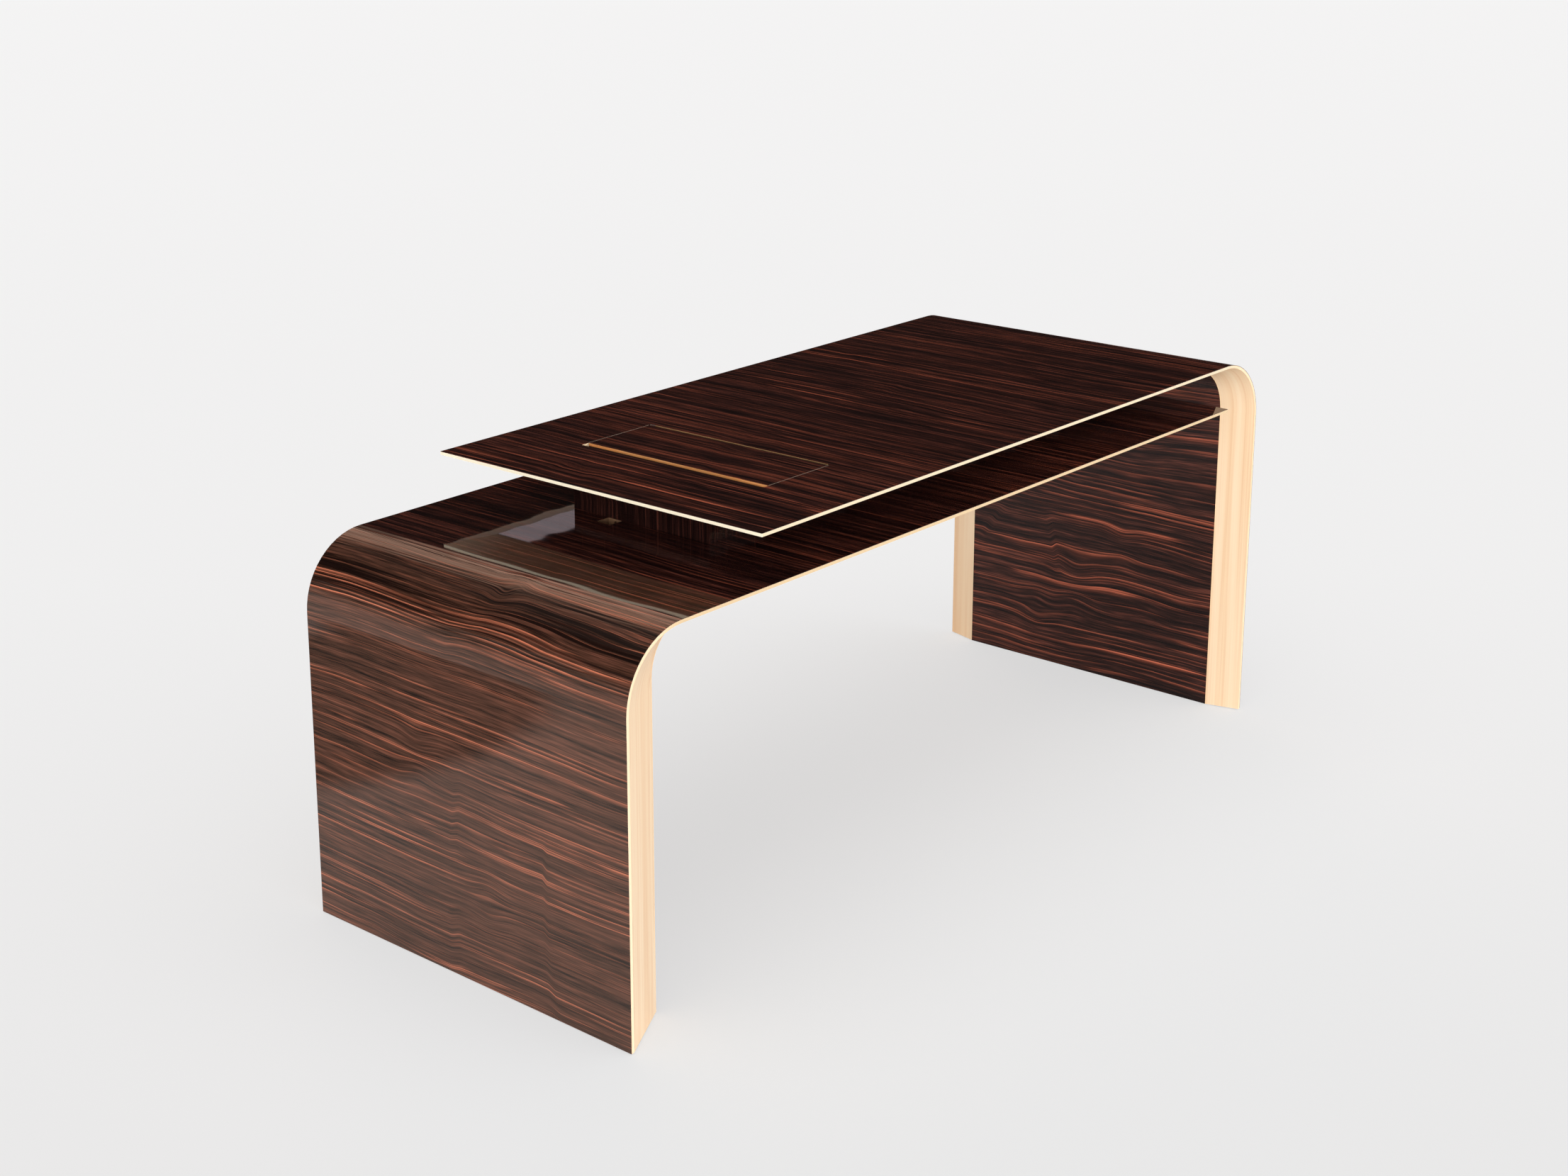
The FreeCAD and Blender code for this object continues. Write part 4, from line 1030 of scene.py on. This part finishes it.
# Where each panel stands, how wide its full and its faded part are, how high its crisp lower edge is, all in
# degrees, how bright it is, and its tint.
SKY_PANELS = {
    "overhead": (aimed(0, 90), 25, 52, 0, 0.30, SKY_TINT),
    "back panel": (aimed(58, 27), 2, 25, 23, 1.60, WARM_TINT),
    "left wall": (aimed(137, -2), 7, 19, -9, 0.55, SKY_TINT),
}
world = bpy.data.worlds.new("studio")
bpy.context.scene.world = world
world.use_nodes = True
tree = world.node_tree
tree.nodes.clear()
direction = add(tree, "ShaderNodeTexCoord").outputs["Generated"]
height = add(tree, "ShaderNodeSeparateXYZ", {"Vector": direction}).outputs["Z"]
light = [SKY_GROUND * share for share in SKY_TINT]
for centre, full, faded, edge, level, tint in SKY_PANELS.values():
    nearness = add(tree, "ShaderNodeVectorMath", {0: direction, 1: centre}, operation="DOT_PRODUCT")
    lit = eased(
        tree, nearness.outputs["Value"], math.cos(math.radians(faded)), math.cos(math.radians(full)))
    above = eased(
        tree, height, math.sin(math.radians(edge - EDGE_BLUR)), math.sin(math.radians(edge + EDGE_BLUR)))
    light = add(tree, "ShaderNodeVectorMath", {
        0: calc(tree, "MULTIPLY", lit, above), 1: [level * share for share in tint], 2: light,
    }, operation="MULTIPLY_ADD").outputs["Vector"]
studio = add(tree, "ShaderNodeBackground", {"Color": light})
backdrop = add(tree, "ShaderNodeBackground", {"Color": BACKDROP_COLOUR})
ray = add(tree, "ShaderNodeLightPath").outputs
seen = calc(tree, "ADD", ray["Is Camera Ray"], ray["Is Transmission Ray"])
sky = add(tree, "ShaderNodeMixShader", {0: seen, 1: studio.outputs[0], 2: backdrop.outputs[0]})
add(tree, "ShaderNodeOutputWorld", {"Surface": sky.outputs[0]})
print("sky panels:", list(SKY_PANELS))

# %% [markdown]
# The light on the wood comes from three broad lamps on the camera's side, one of them low enough to reach
# under the deck. Weaker ones from the left, from behind and from above fill the other sides. They are as
# even as daylight, because a sun lamp doesn't weaken with distance. Lacquer doesn't mirror them, as if
# they were feathered away from it, so the desk stays dark and deep from every side. The low lamps would
# throw long shadows over the floor, so light linking leaves the floor out of them all and gives it one
# high, wide lamp of its own.

# %% Lamps
floor_only = bpy.data.collections.new("floor_only")
floor_only.objects.link(floor)
all_but_floor = bpy.data.collections.new("all_but_floor")
all_but_floor.objects.link(floor)
all_but_floor.collection_objects[0].light_linking.link_state = "EXCLUDE"


def broad_lamp(name, towards, strength, spread, lit=all_but_floor):
    """A wide sun lamp from a direction. At strength 1 a white surface that faces it renders white."""
    lamp = bpy.data.lights.new(name, "SUN")
    lamp.energy = strength * math.pi
    lamp.angle = math.radians(spread)
    holder = bpy.data.objects.new(name, lamp)
    holder.rotation_euler = Vector(towards).to_track_quat("Z", "Y").to_euler()
    holder.visible_glossy = False
    holder.light_linking.receiver_collection = lit
    bpy.context.scene.collection.objects.link(holder)


broad_lamp("key_lamp", aimed(214, 10), strength=0.51, spread=50)
broad_lamp("low_lamp", aimed(216, 5), strength=0.46, spread=20)
broad_lamp("front_lamp", aimed(290, 20), strength=0.69, spread=50)
broad_lamp("side_lamp", aimed(160, 25), strength=0.24, spread=60)
broad_lamp("back_lamp", aimed(28, 22), strength=0.34, spread=80)
broad_lamp("dome_lamp", aimed(0, 90), strength=0.06, spread=170)
broad_lamp("floor_lamp", aimed(238, 60), strength=0.74, spread=110, lit=floor_only)

# %% [markdown]
# ## Camera
# The camera was solved from the desk's own edges. It stands at the left front, well above the top, and
# looks down the length of the desk. The picture's frame sits a little off the lens axis, which two small
# shifts give.

# %% Camera
EYE = Vector((-3.15904, -2.50505, 1.79699))
VIEW = Vector((0.71528, 0.64826, -0.26103)).normalized()
LEVEL = Vector((0.66956, -0.74270, -0.00974))
FOCAL_LENGTH = 54.085
SENSOR_WIDTH = 36.0
SHIFT = (0.0678, -0.0995)
FARTHEST = 200.0

lens = bpy.data.cameras.new("camera")
lens.lens = FOCAL_LENGTH
lens.sensor_width = SENSOR_WIDTH
lens.shift_x, lens.shift_y = SHIFT
lens.clip_end = FARTHEST
camera = bpy.data.objects.new("camera", lens)
to_right = (LEVEL - VIEW * LEVEL.dot(VIEW)).normalized()
upward = to_right.cross(VIEW)
turn = Matrix((to_right, upward, -VIEW)).transposed()
camera.matrix_world = Matrix.Translation(EYE) @ turn.to_4x4()
bpy.context.scene.collection.objects.link(camera)
bpy.context.scene.camera = camera
bpy.context.scene.view_settings.view_transform = "Standard"
print("camera", [round(value, 3) for value in EYE], "lens", FOCAL_LENGTH)
